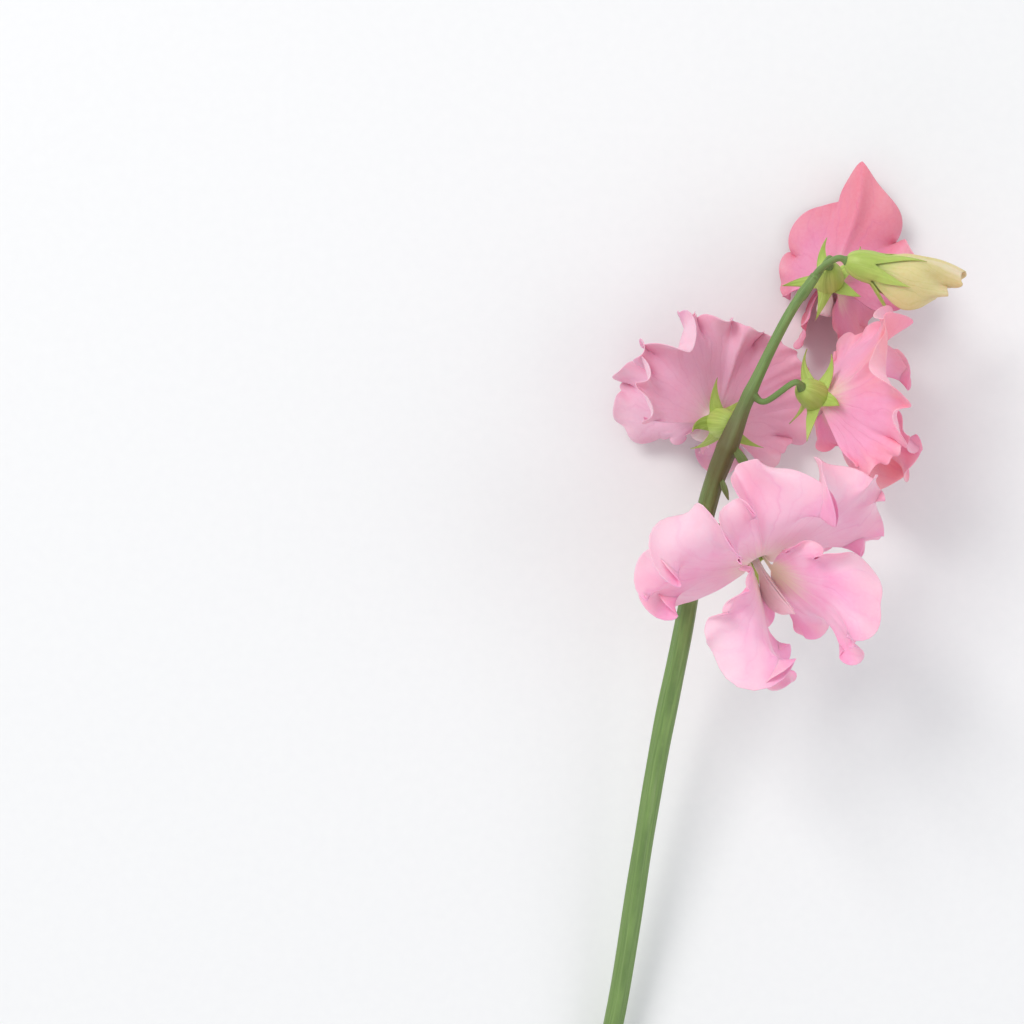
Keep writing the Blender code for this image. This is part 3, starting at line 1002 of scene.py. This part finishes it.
def ruffled(
    frills: Sequence[Frill], angle: Array, blade: Array, phase: float, crisp: Array | float = 1.0
) -> tuple[Array, Array]:
    """Adds up a margin's frills.

    Args:
        frills: from the largest to the finest.
        angle: each ray's angle.
        blade: how far along its ray each point lies, from 0 to 1.
        phase: shifts the waves.
        crisp: the share that is left of every frill but the first.

    Returns:
        What they add to the slope, in degrees, and to the angle, in radians.
    """
    slope = sway = np.zeros(np.broadcast_shapes(angle.shape, blade.shape))
    for k, frill in enumerate(frills):
        more, slide = frill.folds(angle, blade, phase + k)
        share = crisp if k else 1.0
        slope, sway = slope + share * more, sway + share * slide
    return slope, sway


@dataclass(frozen=True)
class Standard:
    """The large upper petal: an arched claw that opens into a broad ruffled blade.

    Its angles are in degrees, and the first of each pair is the left side's.
    """

    size: float
    lean: float  # the midline's slope from forwards
    sides: tuple[float, float]  # the sides' slope from forwards
    reflex: float  # what the slope gains by the margin
    fold: float  # what the midline gains by the margin
    tip: float  # how far the midline is drawn out, or notched, as a share
    spread: float  # half the angle that the blade takes up about the axis
    shoulders: tuple[float, float]  # how much shorter the sides are, as a share
    phase: float
    margin: Margin = Margin.OPEN
    curl: float = 30.0
    claw: float = 3.6 * MM
    claw_share: float = 0.12  # the share of the rows that lies in the claw
    arch: float = 2.38 * MM  # the claw's radius, an arch over the other claws
    blade: float = 28.0 * MM
    widest: float = 45.0  # how far off the midline the blade is longest
    scallop: float = 0.022
    rows: int = 96
    columns: int = 331

    def outline(self, angle: Array) -> Array:
        """Works out how long each ray's blade is: drawn out or notched at the midline, and wavy.

        Args:
            angle: each ray's angle off the midline.

        Returns:
            The lengths.
        """
        turn, widest = np.abs(angle), math.radians(self.widest)
        fall = np.where(turn < widest, 0.55, 0.9)
        reach = self.blade * self.size * np.cos((turn - widest) * fall) ** 0.8
        shoulder = np.where(angle > 0, *self.shoulders) * np.sin(np.minimum(turn, math.pi / 2))
        notch = self.tip * np.exp(-(turn / 0.34)) - shoulder
        wavy = 0.022 * np.sin(6.3 * angle + self.phase) + 0.014 * np.sin(14.7 * angle - self.phase)
        coarse = enumerate(self.margin.value[:3])
        scallops = sum(frill.scallops(angle, self.phase + k) for k, frill in coarse) * self.scallop
        return reach * (1 + notch + wavy + scallops * ramp(0.1, 0.5, turn))

    def grid(self) -> tuple[Array, dict[str, Array], Array]:
        """Works out the petal.

        A ray's slope is the lean, reached over a short bend past the claw, plus the reflex with the
        square of the distance, a crease at the midline, the large waves, the frills and a rolled
        margin. Its steps, added up, carry it forwards by the slope's cosine and outwards by the
        sine.

        Returns:
            The points, the finish's marks, and the thickness.
        """
        spread = math.radians(self.spread)
        angle = np.linspace(-spread, spread, self.columns)[None, :]
        turn = np.abs(angle)
        row = np.linspace(0, 1, self.rows)[:, None]
        reach = self.outline(angle)
        blade = np.clip((row - self.claw_share) / (1 - self.claw_share), 0, 1) ** 0.9
        along = self.claw * np.clip(row / self.claw_share, 0, 1) + reach * blade
        bend = ramp(0.0, 1.0, (along - self.claw * 0.75) / (3.6 * MM))
        side = np.where(angle > 0, *self.sides)
        lean = self.lean + (side - self.lean) * np.sin(np.minimum(turn, math.pi / 2)) ** 2
        lean = lean + self.fold * hump(turn, 0.0, 0.28) * blade
        lean = lean + 9 * hump(turn, 0.0, 0.07) * ramp(0, 0.3, blade)
        large = 30 * blade**1.6 * waves(angle, self.phase, 4.2)
        crisp = 1 - 0.9 * hump(turn, 0.0, 0.4) if self.tip > 0 else 1.0
        folds, sway = ruffled(self.margin.value, angle, blade, self.phase, crisp)
        rolled = crisp * (0.5 + 0.5 * np.sin(2.7 * angle + 2 * self.phase))
        rolled = self.curl * rolled * ramp(0.82, 1.0, blade) ** 1.5
        slope = np.radians(lean * bend + self.reflex * blade**2 + large + folds + rolled)
        ahead, out = stepped(along, slope)
        points = across_axis(CLAW_START + ahead, self.arch + out, angle + sway)
        reached = along / (self.claw + reach)
        # the crest mark sets the painted highlight on crests and the painted shade in hollows
        marks = {"fan": angle + 0 * row, "reach": reached, "crest": folds / CREST_SCALE}
        return points, marks, (0.36 - 0.2 * blade + 0 * angle) * MM


@dataclass(frozen=True)
class Wing:
    """A side petal: a thin claw, then a rounded ruffled blade that cups the keel.

    Its angles are in degrees.
    """

    side: Side
    size: float
    out: float  # how far it opens off the axis
    roll: float  # how far its upper edge leans out
    curl: float  # how far it turns in along its length
    phase: float
    swing: float  # of its largest frill
    rise: float = 8.0  # how far it points up off the axis
    offset: float = 1.5 * MM  # how far the claw lies beside the axis
    above: float = 0.2 * MM
    blade: float = 27.0 * MM
    width: float = 23.0 * MM
    narrow: float = 0.8 * MM  # how far from the claw's end the rays begin
    fan: tuple[float, float] = (-74.0, 80.0)  # its lowest and highest rays
    tilt: float = 6.0  # how far above forwards its longest ray lies
    claw_share: float = 0.1
    rows: int = 84
    columns: int = 191

    def grid(self) -> tuple[Array, dict[str, Array], Array]:
        """Works out the petal.

        Rays fan out from the claw's end over an ellipse that passes through it: a ray at angle a
        has the length L cos a / (cos a squared + (L / W sin a) squared). Each lifts off the petal's
        plane by its slope, which turns inwards along the curl and swings with the waves and frills.

        Returns:
            The points, the finish's marks, and the thickness.
        """
        sign = self.side.value
        phase = self.phase + sign
        frills = (
            Frill(6.5, self.swing, 0.25, 0.6),
            Frill(14.0, 10 + 0.8 * self.swing, 0.48, 1.5),
            Frill(31.0, 12 + 0.6 * self.swing, 0.74, 1.2),
        )
        out, roll, rise = (math.radians(a) for a in (self.out, self.roll, self.rise))
        level = math.cos(out)
        ahead = np.array([math.cos(rise) * level, sign * math.sin(out), math.sin(rise) * level])
        up = np.array([0.0, sign * math.sin(roll), math.cos(roll)])
        up = unit(up - ahead * (up @ ahead))
        outward = np.cross(up, ahead) * sign
        root = np.array([CLAW_END, sign * (self.offset + 0.5 * MM), self.above])
        fan = np.linspace(*np.radians(self.fan), self.columns)[None, :]
        tilt = fan - math.radians(self.tilt)
        long, wide = self.blade * self.size, self.width * self.size
        reach = long * np.cos(tilt) / (np.cos(tilt) ** 2 + (long / wide * np.sin(tilt)) ** 2)
        scallops = sum(frill.scallops(fan, phase + k) for k, frill in enumerate(frills))
        reach = reach * (1 + 0.03 * np.sin(5.3 * fan + self.phase) + 0.022 * scallops)
        row = np.linspace(0, 1, self.rows)[:, None]
        share = np.clip((row - self.claw_share) / (1 - self.claw_share), 0, 1) ** 0.9
        along = self.narrow + np.maximum(reach - self.narrow, 1.2 * MM) * share
        large = 26 * share**1.6 * waves(fan, phase, 4.6)
        folds, sway = ruffled(frills, fan, share, phase)
        slope = np.radians(self.curl * (0.6 - 1.9 * share) + large + folds)
        flat, lift = stepped(along, slope)
        flat, turned = self.narrow + flat, fan + sway * 0.7
        points = (
            root
            + (flat * np.cos(turned))[..., None] * ahead
            + (flat * np.sin(turned))[..., None] * up
            + lift[..., None] * outward
        )
        start = np.array([CLAW_START, sign * self.offset, self.above])
        strip = np.linspace(-0.6, 0.6, self.columns)[None, :, None] * MM * np.array([0, 0, 1])
        back = np.clip(row / self.claw_share, 0, 1)[..., None]
        claw = start + (root - start) * back * 0.92 + strip
        join = ramp(0.06, 0.14, row)[..., None]
        points = claw * (1 - join) + points * join
        reached = np.clip((row - 0.02) / 0.98, 0, 1)
        # the crest mark sets the painted highlight on crests and the painted shade in hollows
        marks = {"fan": fan, "reach": reached, "crest": folds / CREST_SCALE}
        return points, marks, (0.32 - 0.18 * share + 0 * fan) * MM


@dataclass(frozen=True)
class Keel:
    """The small boat-shaped petal, folded along its lower edge and open above."""

    size: float
    length: float = 21.0 * MM
    rows: int = 60
    columns: int = 61

    def grid(self) -> tuple[Array, dict[str, Array], Array]:
        """Works out the petal: each section is an arc from one upper edge, under it, to the other.

        Returns:
            The points, the finish's marks, and the thickness.
        """
        row = np.linspace(0, 2, self.rows)[:, None]
        around = np.linspace(-1, 1, self.columns)[None, :]
        blade = np.clip(row - 1, 0, 1)
        length = self.length * self.size - CLAW_END
        ahead = CLAW_START + (CLAW_END - CLAW_START) * np.minimum(row, 1) + length * blade
        ridge = (-1.2 - 3.4 * np.sin(math.pi * blade**0.8) ** 1.3 + 5.5 * blade**3) * MM
        height = (1.6 + 4.4 * np.sin(math.pi * blade**0.9) ** 1.2) * MM
        half = (0.75 + 1.2 * np.sin(math.pi * blade**0.85)) * MM
        close = 1 - 0.85 * ramp(0.8, 1.0, blade)
        ridge, height, half = ridge + height * (1 - close) * 0.4, height * close, half * close
        side = half * np.sin(math.pi * 0.975 * np.abs(around)) * np.sign(around)
        rise = ridge + height * (1 - np.cos(math.pi / 2 * np.abs(around) ** 1.2))
        points = np.stack(np.broadcast_arrays(ahead, side, rise), -1)
        marks = {"fan": around * 0.6, "reach": row / 2, "crest": 0 * row}
        return points, marks, (0.28 - 0.1 * blade + 0 * around) * MM


@dataclass(frozen=True)
class Dress:
    """The finishes of one blossom."""

    petal: bpy.types.Material
    keel: bpy.types.Material
    calyx: bpy.types.Material
    stem: bpy.types.Material


@dataclass(frozen=True)
class Stamens:
    """The column of stamens inside the keel: a thin tube along its floor and up into its tip."""

    size: float
    short: float = 5.0 * MM  # how much shorter than the keel it is
    radius: float = 0.42 * MM
    points: int = 40
    sides: int = 12

    def build(self, name: str, place: Place, finish: bpy.types.Material, replaced: str) -> None:
        """Makes it.

        Args:
            name: the piece's name.
            place: the flower's place.
            finish: its material.
            replaced: the solid that it stands for.
        """
        along = np.linspace(0, 1, self.points)
        length = Keel.length * self.size - self.short
        height = (0.1 - 0.7 * np.sin(math.pi * along) + 3.4 * along**3) * MM
        line = np.stack([CLAW_START + length * along, 0 * along, height], 1)
        taper = np.linspace(1.0, 0.7, self.points)[:, None]
        radius = self.radius * taper * np.ones((1, self.sides))
        marks = dict.fromkeys(("fan", "crest", "side"), 0 * taper)
        marks["reach"] = along[:, None] * 0.3
        piece = Mesher.tube(name, place.carried(line), radius, marks)
        Mesher.hand_over(piece, finish, "keel_cream", replaced)


@dataclass(frozen=True)
class Blossom:
    """An open blossom: its place in mm of the stem's plan, and how it holds its petals."""

    number: int
    node: float  # where its pedicel leaves the stalk, counted in the route's points
    base: tuple[float, float, float]
    forward: tuple[float, float, float]
    up: tuple[float, float, float]
    standard: Standard
    wing_out: float
    wing_roll: float
    wing_curl: float
    wing_swing: float

    def petals(self, place: Place, dress: Dress) -> None:
        """Makes the standard, the keel and the wings.

        Args:
            place: the blossom's place.
            dress: its finishes.
        """
        size, phase = self.standard.size, self.standard.phase
        jobs: list[tuple[str, str, Standard | Wing | Keel, bpy.types.Material]] = [
            ("standard", "petal_pink", self.standard, dress.petal),
            ("keel", "keel_cream", Keel(size), dress.keel),
        ]
        for side in Side:
            hold = (self.wing_out, self.wing_roll, self.wing_curl)
            wing = Wing(side, size, *hold, phase, self.wing_swing)
            jobs.append((f"wing_{side.name.lower()}", "petal_pink", wing, dress.petal))
        for word, slot, petal, finish in jobs:
            points, marks, thick = petal.grid()
            piece = Mesher.shell(f"{word}_{self.number}", place.carried(points), thick, marks)
            Mesher.hand_over(piece, finish, slot, f"flower_{self.number}_{word}")

    def build(self, stalk: Stalk, dress: Dress) -> None:
        """Makes every piece of the blossom.

        Args:
            stalk: what it grows from.
            dress: its finishes.
        """
        place = Place.of(self.base, self.forward, self.up)
        number, solid = self.number, f"flower_{self.number}"
        pedicel, calyx = Pedicel(self.node), Calyx(phase=self.standard.phase)
        pedicel.build(f"pedicel_{number}", stalk, place, dress.stem, f"{solid}_pedicel")
        calyx.build(f"calyx_{number}", place, dress.calyx, f"{solid}_calyx")
        self.petals(place, dress)
        stamens = Stamens(self.standard.size)
        stamens.build(f"stamens_{number}", place, dress.keel, f"{solid}_stamens")


@dataclass(frozen=True)
class Bud:
    """The bud at the tip: its folded standard still wraps the petals inside."""

    node: float = 11.0
    base: tuple[float, float, float] = (17.9, 72.9, 33.0)
    forward: tuple[float, float, float] = (0.955, -0.24, -0.05)
    up: tuple[float, float, float] = (0.24, 0.95, 0.2)
    length: ClassVar[float] = 23.0 * MM
    wrap: float = 156.0  # how far the folded standard reaches about the axis, in degrees
    rows: int = 90
    columns: int = 181
    inner_points: int = 50
    inner_sides: int = 28

    @classmethod
    def radius_at(cls, around: Array, ahead: Array) -> Array:
        """How far out the folded standard lies: two half ellipses, deeper below than above.

        Args:
            around: angle about the axis, 0 at the top.
            ahead: distance along the axis.

        Returns:
            The distance from the axis.
        """
        along = np.clip((ahead - CUP_LENGTH) / (cls.length - CUP_LENGTH), 0, 1)
        wide = (2.35 + 2.2 * np.sin(math.pi * along**1.1) ** 1.2) * MM
        above = 2.35 + 3.4 * np.sin(math.pi / 2 * np.clip(1.3 * along, 0, 1)) ** 1.3
        above = (above - 2.2 * along**2) * MM
        below = (2.35 + 6.6 * np.sin(math.pi * 0.9 * along) ** 1.25) * MM
        tall = np.where(np.cos(around) > 0, above, below)
        return 1 / np.hypot(np.sin(around) / wide, np.cos(around) / tall)

    def standard(self) -> tuple[Array, dict[str, Array], Array]:
        """Works out the folded standard.

        It follows radius_at, keeps a crest along its fold, frills at its mouth, and has a lip
        beside a hollow on its right.

        Returns:
            The points, the finish's marks, and the thickness.
        """
        around = np.linspace(-1, 1, self.columns)[None, :] * math.radians(self.wrap)
        row = np.linspace(0, 1, self.rows)[:, None]
        ahead = CLAW_START + (self.length - CLAW_START) * row
        blade = np.clip((ahead - CUP_LENGTH) / (self.length - CUP_LENGTH), 0, 1)
        lip = hump(around, math.radians(-22), math.radians(11)) * ramp(0.3, 0.8, blade)
        hollow = hump(around, math.radians(-58), math.radians(26)) * ramp(0.45, 0.85, blade)
        crest = 0.5 * hump(around, 0.0, 0.16) * ramp(0.05, 0.4, blade)
        mouth = ramp(0.7, 1.0, blade)
        frill = 0.75 * mouth * np.sin(6 * around + 0.8) * ramp(0.2, 0.9, np.abs(around))
        uneven = 0.22 * np.sin(3.0 * around + 9 * blade) * ramp(0.2, 0.6, blade)
        bumps = crest + frill + uneven + 0.55 * lip - 1.5 * hollow
        radius = self.radius_at(around, ahead) + bumps * MM
        longer = 2.2 * blade**2 * np.cos(around) + 0.8 * mouth * np.sin(5 * around)
        points = across_axis(ahead + longer * MM, radius, around)
        # through the crest mark the lip takes a painted highlight and the hollow a painted shade
        marks = {"fan": around * 0.6, "reach": blade, "crest": 1.2 * lip - 1.4 * hollow}
        return points, marks, (0.36 - 0.16 * blade + 0 * around) * MM

    def inner(self) -> tuple[Array, dict[str, Array], Array]:
        """Works out the wings inside: a flat spindle, a millimetre narrower each way than the fold.

        Returns:
            The points, the finish's marks, and the thickness.
        """
        along = np.linspace(0, 1, self.inner_points)[:, None]
        around = turns(self.inner_sides)
        swell = np.sin(math.pi * np.clip(along, 0.02, 0.97))
        wide = (0.55 + 1.1 * swell**1.2) * np.sin(around)
        tall = (0.6 + 2.9 * swell**1.1) * np.cos(around) - 1.6 * np.sin(math.pi * along)
        ahead = CLAW_START / MM + 18.4 * along
        points = np.stack(np.broadcast_arrays(ahead, wide, tall), -1) * MM
        marks = {"fan": around * 0.3, "reach": 0.1 + 0.7 * along, "crest": 0 * along}
        return points, marks, np.full(points.shape[:2], 0.3 * MM)

    def build(self, stalk: Stalk, dress: Dress) -> None:
        """Makes the bud's pedicel, calyx, folded standard and the petals inside.

        Args:
            stalk: what it grows from.
            dress: its finishes.
        """
        place = Place.of(self.base, self.forward, self.up)
        Pedicel(self.node).build("pedicel_bud", stalk, place, dress.stem, "bud_pedicel")
        sepals = Calyx(closed=True, phase=0.7, tooth=9.6 * MM, radius=3.3 * MM, taper=1.05)
        sepals.build("calyx_bud", place, dress.calyx, "bud_calyx")
        jobs = (("standard", self.standard(), False), ("wings", self.inner(), True))
        for word, (points, marks, thick), around in jobs:
            piece = Mesher.shell(f"{word}_bud", place.carried(points), thick, marks, around)
            Mesher.hand_over(piece, dress.petal, "bud_cream", f"bud_{word}")


@dataclass(frozen=True)
class TableFinish:
    """Matt white with a faint grain."""

    name: str = "table_white"
    dark: Colour = (0.86, 0.86, 0.865)
    light: Colour = (0.89, 0.89, 0.89)
    roughness: float = 0.75

    def material(self) -> bpy.types.Material:
        """Makes the material.

        Returns:
            The material.
        """
        g = Graph(self.name)
        colour = g.blend(g.noise(g.spot(), 420.0, 3.0), self.dark, self.light)
        return g.shaded({"Base Color": colour, "Roughness": self.roughness})


@dataclass(frozen=True)
class Lamp:
    """A square soft light: its place and size in metres, and its power in watts."""

    name: str
    place: tuple[float, float, float]
    size: float
    power: float
    colour: Colour

    def build(self, target: Vector) -> None:
        """Makes the light.

        Args:
            target: what it faces.
        """
        data = bpy.data.lights.new(self.name, "AREA")
        data.size, data.energy, data.color = self.size, self.power, self.colour
        lamp = bpy.data.objects.new(self.name, data)
        lamp.location = self.place
        lamp.rotation_euler = (target - lamp.location).to_track_quat("-Z", "Y").to_euler()
        bpy.context.scene.collection.objects.link(lamp)


@dataclass(frozen=True)
class Studio:
    """A plain pale table, soft lights over it, and the camera straight above."""

    view: float = 222.6 * MM  # the width of table that the camera takes in
    above: float = 34.4 * MM  # clear table past the highest petal
    aside: float = 52.9 * MM  # how far left of the stem the camera hangs
    level: float = 25.0 * MM  # the height that the width is measured at
    lens: float = 90.0
    sensor: float = 36.0
    table_half: float = 3.0
    blossoms: tuple[float, float, float] = (0.0, 0.06, 0.02)  # what the lights face
    lamps: tuple[Lamp, ...] = (
        Lamp("key", (-0.95, 1.05, 1.35), 0.8, 17.0, (1.0, 0.985, 0.96)),
        Lamp("fill", (1.4, -0.3, 1.2), 1.2, 5.0, (0.96, 0.98, 1.0)),
        Lamp("low", (-0.5, -1.5, 0.8), 1.0, 3.0, (1.0, 0.98, 0.98)),
    )
    sky: Colour = (0.95, 0.97, 1.0)
    sky_strength: float = 0.68

    def table(self) -> None:
        """Makes the table: a square that isn't part of the object."""
        half = self.table_half
        corners = [(-half, -half, 0), (half, -half, 0), (half, half, 0), (-half, half, 0)]
        mesh = bpy.data.meshes.new("table")
        mesh.from_pydata(corners, [], [(0, 1, 2, 3)])
        mesh.materials.append(TableFinish().material())
        top = bpy.data.objects.new("table", mesh)
        bpy.context.scene.collection.objects.link(top)
        top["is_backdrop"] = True

    def camera(self, low: Vector, high: Vector) -> None:
        """Hangs the camera over the table, looking straight down.

        Args:
            low: the object's lowest corner.
            high: its highest corner.
        """
        data = bpy.data.cameras.new("camera")
        data.lens, data.sensor_width = self.lens, self.sensor
        camera = bpy.data.objects.new("camera", data)
        camera.location = (
            (low.x + high.x) / 2 - self.aside,
            high.y + self.above - self.view / 2,
            self.level + self.view * self.lens / self.sensor,
        )
        bpy.context.scene.collection.objects.link(camera)
        bpy.context.scene.camera = camera

    def build(self, low: Vector, high: Vector) -> None:
        """Sets the table, lights and camera about the object's box.

        Args:
            low: its lowest corner.
            high: its highest corner.
        """
        self.table()
        for lamp in self.lamps:
            lamp.build(Vector(self.blossoms))
        world = bpy.data.worlds.new("soft_sky")
        world.use_nodes = True
        sky = world.node_tree.nodes["Background"]
        sky.inputs["Color"].default_value = (*self.sky, 1.0)
        sky.inputs["Strength"].default_value = self.sky_strength
        bpy.context.scene.world = world
        bpy.context.scene.view_settings.view_transform = "Standard"
        self.camera(low, high)


STALK = Stalk()
BRACTS = (
    Bract(node=8.05, direction=(0.5, -0.8, 0.3), length=7.2, width=2.4),
    Bract(node=7.3, direction=(0.3, -0.9, 0.4), length=4.8, width=1.4),
)
BLOSSOMS = (
    Blossom(
        number=1,
        node=6.25,
        base=(-3.4, 13.4, 23.8),
        forward=(0.42, -0.80, 0.43),
        up=(0.02, 0.45, 0.88),
        standard=Standard(
            size=1.09,
            lean=88,
            sides=(80, 87),
            reflex=14,
            fold=12,
            tip=-0.10,
            spread=112,
            shoulders=(0, 0),
            phase=0.4,
            margin=Margin.FULL,
        ),
        wing_out=22,
        wing_roll=18,
        wing_curl=-10,
        wing_swing=50,
    ),
    Blossom(
        number=2,
        node=7.6,
        base=(-5.8, 38.5, 22.4),
        forward=(-0.44, 0.05, -0.89),
        up=(0.28, 0.95, -0.08),
        standard=Standard(
            size=0.86,
            lean=86,
            sides=(84, 84),
            reflex=10,
            fold=10,
            tip=-0.08,
            spread=108,
            shoulders=(0, 0),
            phase=2.1,
        ),
        wing_out=38,
        wing_roll=18,
        wing_curl=14,
        wing_swing=44,
    ),
    Blossom(
        number=3,
        node=9.0,
        base=(8.4, 45.8, 31.5),
        forward=(0.62, -0.30, -0.72),
        up=(0.78, 0.325, 0.52),
        standard=Standard(
            size=0.95,
            lean=100,
            sides=(50, 66),
            reflex=10,
            fold=22,
            tip=0.36,
            spread=84,
            shoulders=(0.44, 0.29),
            phase=3.7,
        ),
        wing_out=24,
        wing_roll=6,
        wing_curl=-10,
        wing_swing=44,
    ),
    Blossom(
        number=4,
        node=10.55,
        base=(15.0, 72.4, 24.6),
        forward=(0.12, -0.50, -0.86),
        up=(0.36, 0.83, -0.44),
        standard=Standard(
            size=0.84,
            lean=78,
            sides=(44, 50),
            reflex=4,
            fold=26,
            tip=0.42,
            spread=88,
            shoulders=(0.26, 0.26),
            phase=5.2,
            margin=Margin.YOUNG,
            curl=16.0,
        ),
        wing_out=14,
        wing_roll=-3,
        wing_curl=0,
        wing_swing=10,
    ),
)

STEM_GREEN = GreenFinish(
    name="stem_green",
    low=(0.125, 0.215, 0.058),
    high=(0.20, 0.32, 0.09),
    warm=(0.12, 0.088, 0.03),
    pale=(0.28, 0.39, 0.15),
)
CALYX_GREEN = GreenFinish(
    name="calyx_green",
    low=(0.34, 0.46, 0.08),
    high=(0.50, 0.62, 0.15),
    warm=(0.38, 0.32, 0.11),
    pale=(0.58, 0.66, 0.26),
    streaks=5.0,
    glow=0.25,
)
LILAC = PetalFinish(
    name="petal_lilac_pink",
    throat=(0.92, 0.84, 0.62),
    body=(0.97, 0.57, 0.71),
    flush_and_fold_shade=(0.91, 0.30, 0.55),
    rim=(0.98, 0.44, 0.54),
    vein=(0.86, 0.26, 0.51),
    back=(0.96, 0.57, 0.70),
    throat_end=0.46,
    flush_share=0.8,
    rim_share=0.75,
)
DUSTY = PetalFinish(
    name="petal_dusty_pink",
    throat=(0.80, 0.66, 0.58),
    body=(0.84, 0.44, 0.58),
    flush_and_fold_shade=(0.78, 0.32, 0.50),
    rim=(0.90, 0.40, 0.50),
    vein=(0.70, 0.26, 0.44),
    back=(0.76, 0.44, 0.56),
)
SALMON = PetalFinish(
    name="petal_salmon_pink",
    throat=(0.88, 0.64, 0.52),
    body=(0.98, 0.40, 0.60),
    flush_and_fold_shade=(0.95, 0.26, 0.46),
    rim=(0.99, 0.34, 0.38),
    vein=(0.86, 0.20, 0.42),
    back=(0.98, 0.42, 0.58),
    ridge=(0.99, 0.33, 0.36),
    ridge_share=0.8,
    throat_end=0.42,
)
ROSE = PetalFinish(
    name="petal_rose",
    throat=(0.84, 0.62, 0.50),
    body=(0.78, 0.24, 0.40),
    flush_and_fold_shade=(0.74, 0.17, 0.35),
    rim=(0.86, 0.28, 0.32),
    vein=(0.68, 0.13, 0.30),
    back=(0.82, 0.31, 0.47),
    ridge=(0.80, 0.19, 0.24),
    ridge_share=0.65,
    throat_end=0.42,
)
KEEL = PetalFinish(
    name="keel_cream",
    throat=(0.88, 0.84, 0.60),
    body=(0.93, 0.68, 0.68),
    flush_and_fold_shade=(0.92, 0.50, 0.60),
    rim=(0.94, 0.44, 0.58),
    vein=(0.84, 0.42, 0.54),
    back=(0.92, 0.68, 0.68),
    flush_share=0.5,
)
CREAM = PetalFinish(
    name="bud_cream",
    throat=(0.50, 0.57, 0.15),
    body=(0.70, 0.60, 0.26),
    flush_and_fold_shade=(0.62, 0.46, 0.17),
    rim=(0.82, 0.60, 0.38),
    vein=(0.54, 0.52, 0.14),
    back=(0.77, 0.70, 0.36),
    vein_share=0.4,
    rim_share=0.55,
    flush_share=0.3,
    glow=0.35,
)


def main() -> None:
    """Builds the stem piece by piece, then the studio."""
    logging.basicConfig(level=logging.INFO, format="%(name)s %(message)s")
    solid_low, solid_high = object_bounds()
    shared = (STEM_GREEN, CALYX_GREEN, KEEL, CREAM)
    stem, calyx, keel, cream = (finish.material() for finish in shared)
    STALK.build(stem)
    for number, bract in enumerate(BRACTS, 1):
        bract.build(f"bract_{number}", STALK, stem)
    for blossom, tint in zip(BLOSSOMS, (LILAC, DUSTY, SALMON, ROSE)):
        blossom.build(STALK, Dress(tint.material(), keel, calyx, stem))
    Bud().build(STALK, Dress(cream, keel, calyx, stem))
    Studio().build(solid_low, solid_high)
    low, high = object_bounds()
    boxes = {"cad": [list(solid_low), list(solid_high)], "visual": [list(low), list(high)]}
    for word, corners in boxes.items():
        LOG.info("%s box in mm: %s", word, (np.array(corners) / MM).round(1).tolist())


if __name__ == "__main__":
    main()
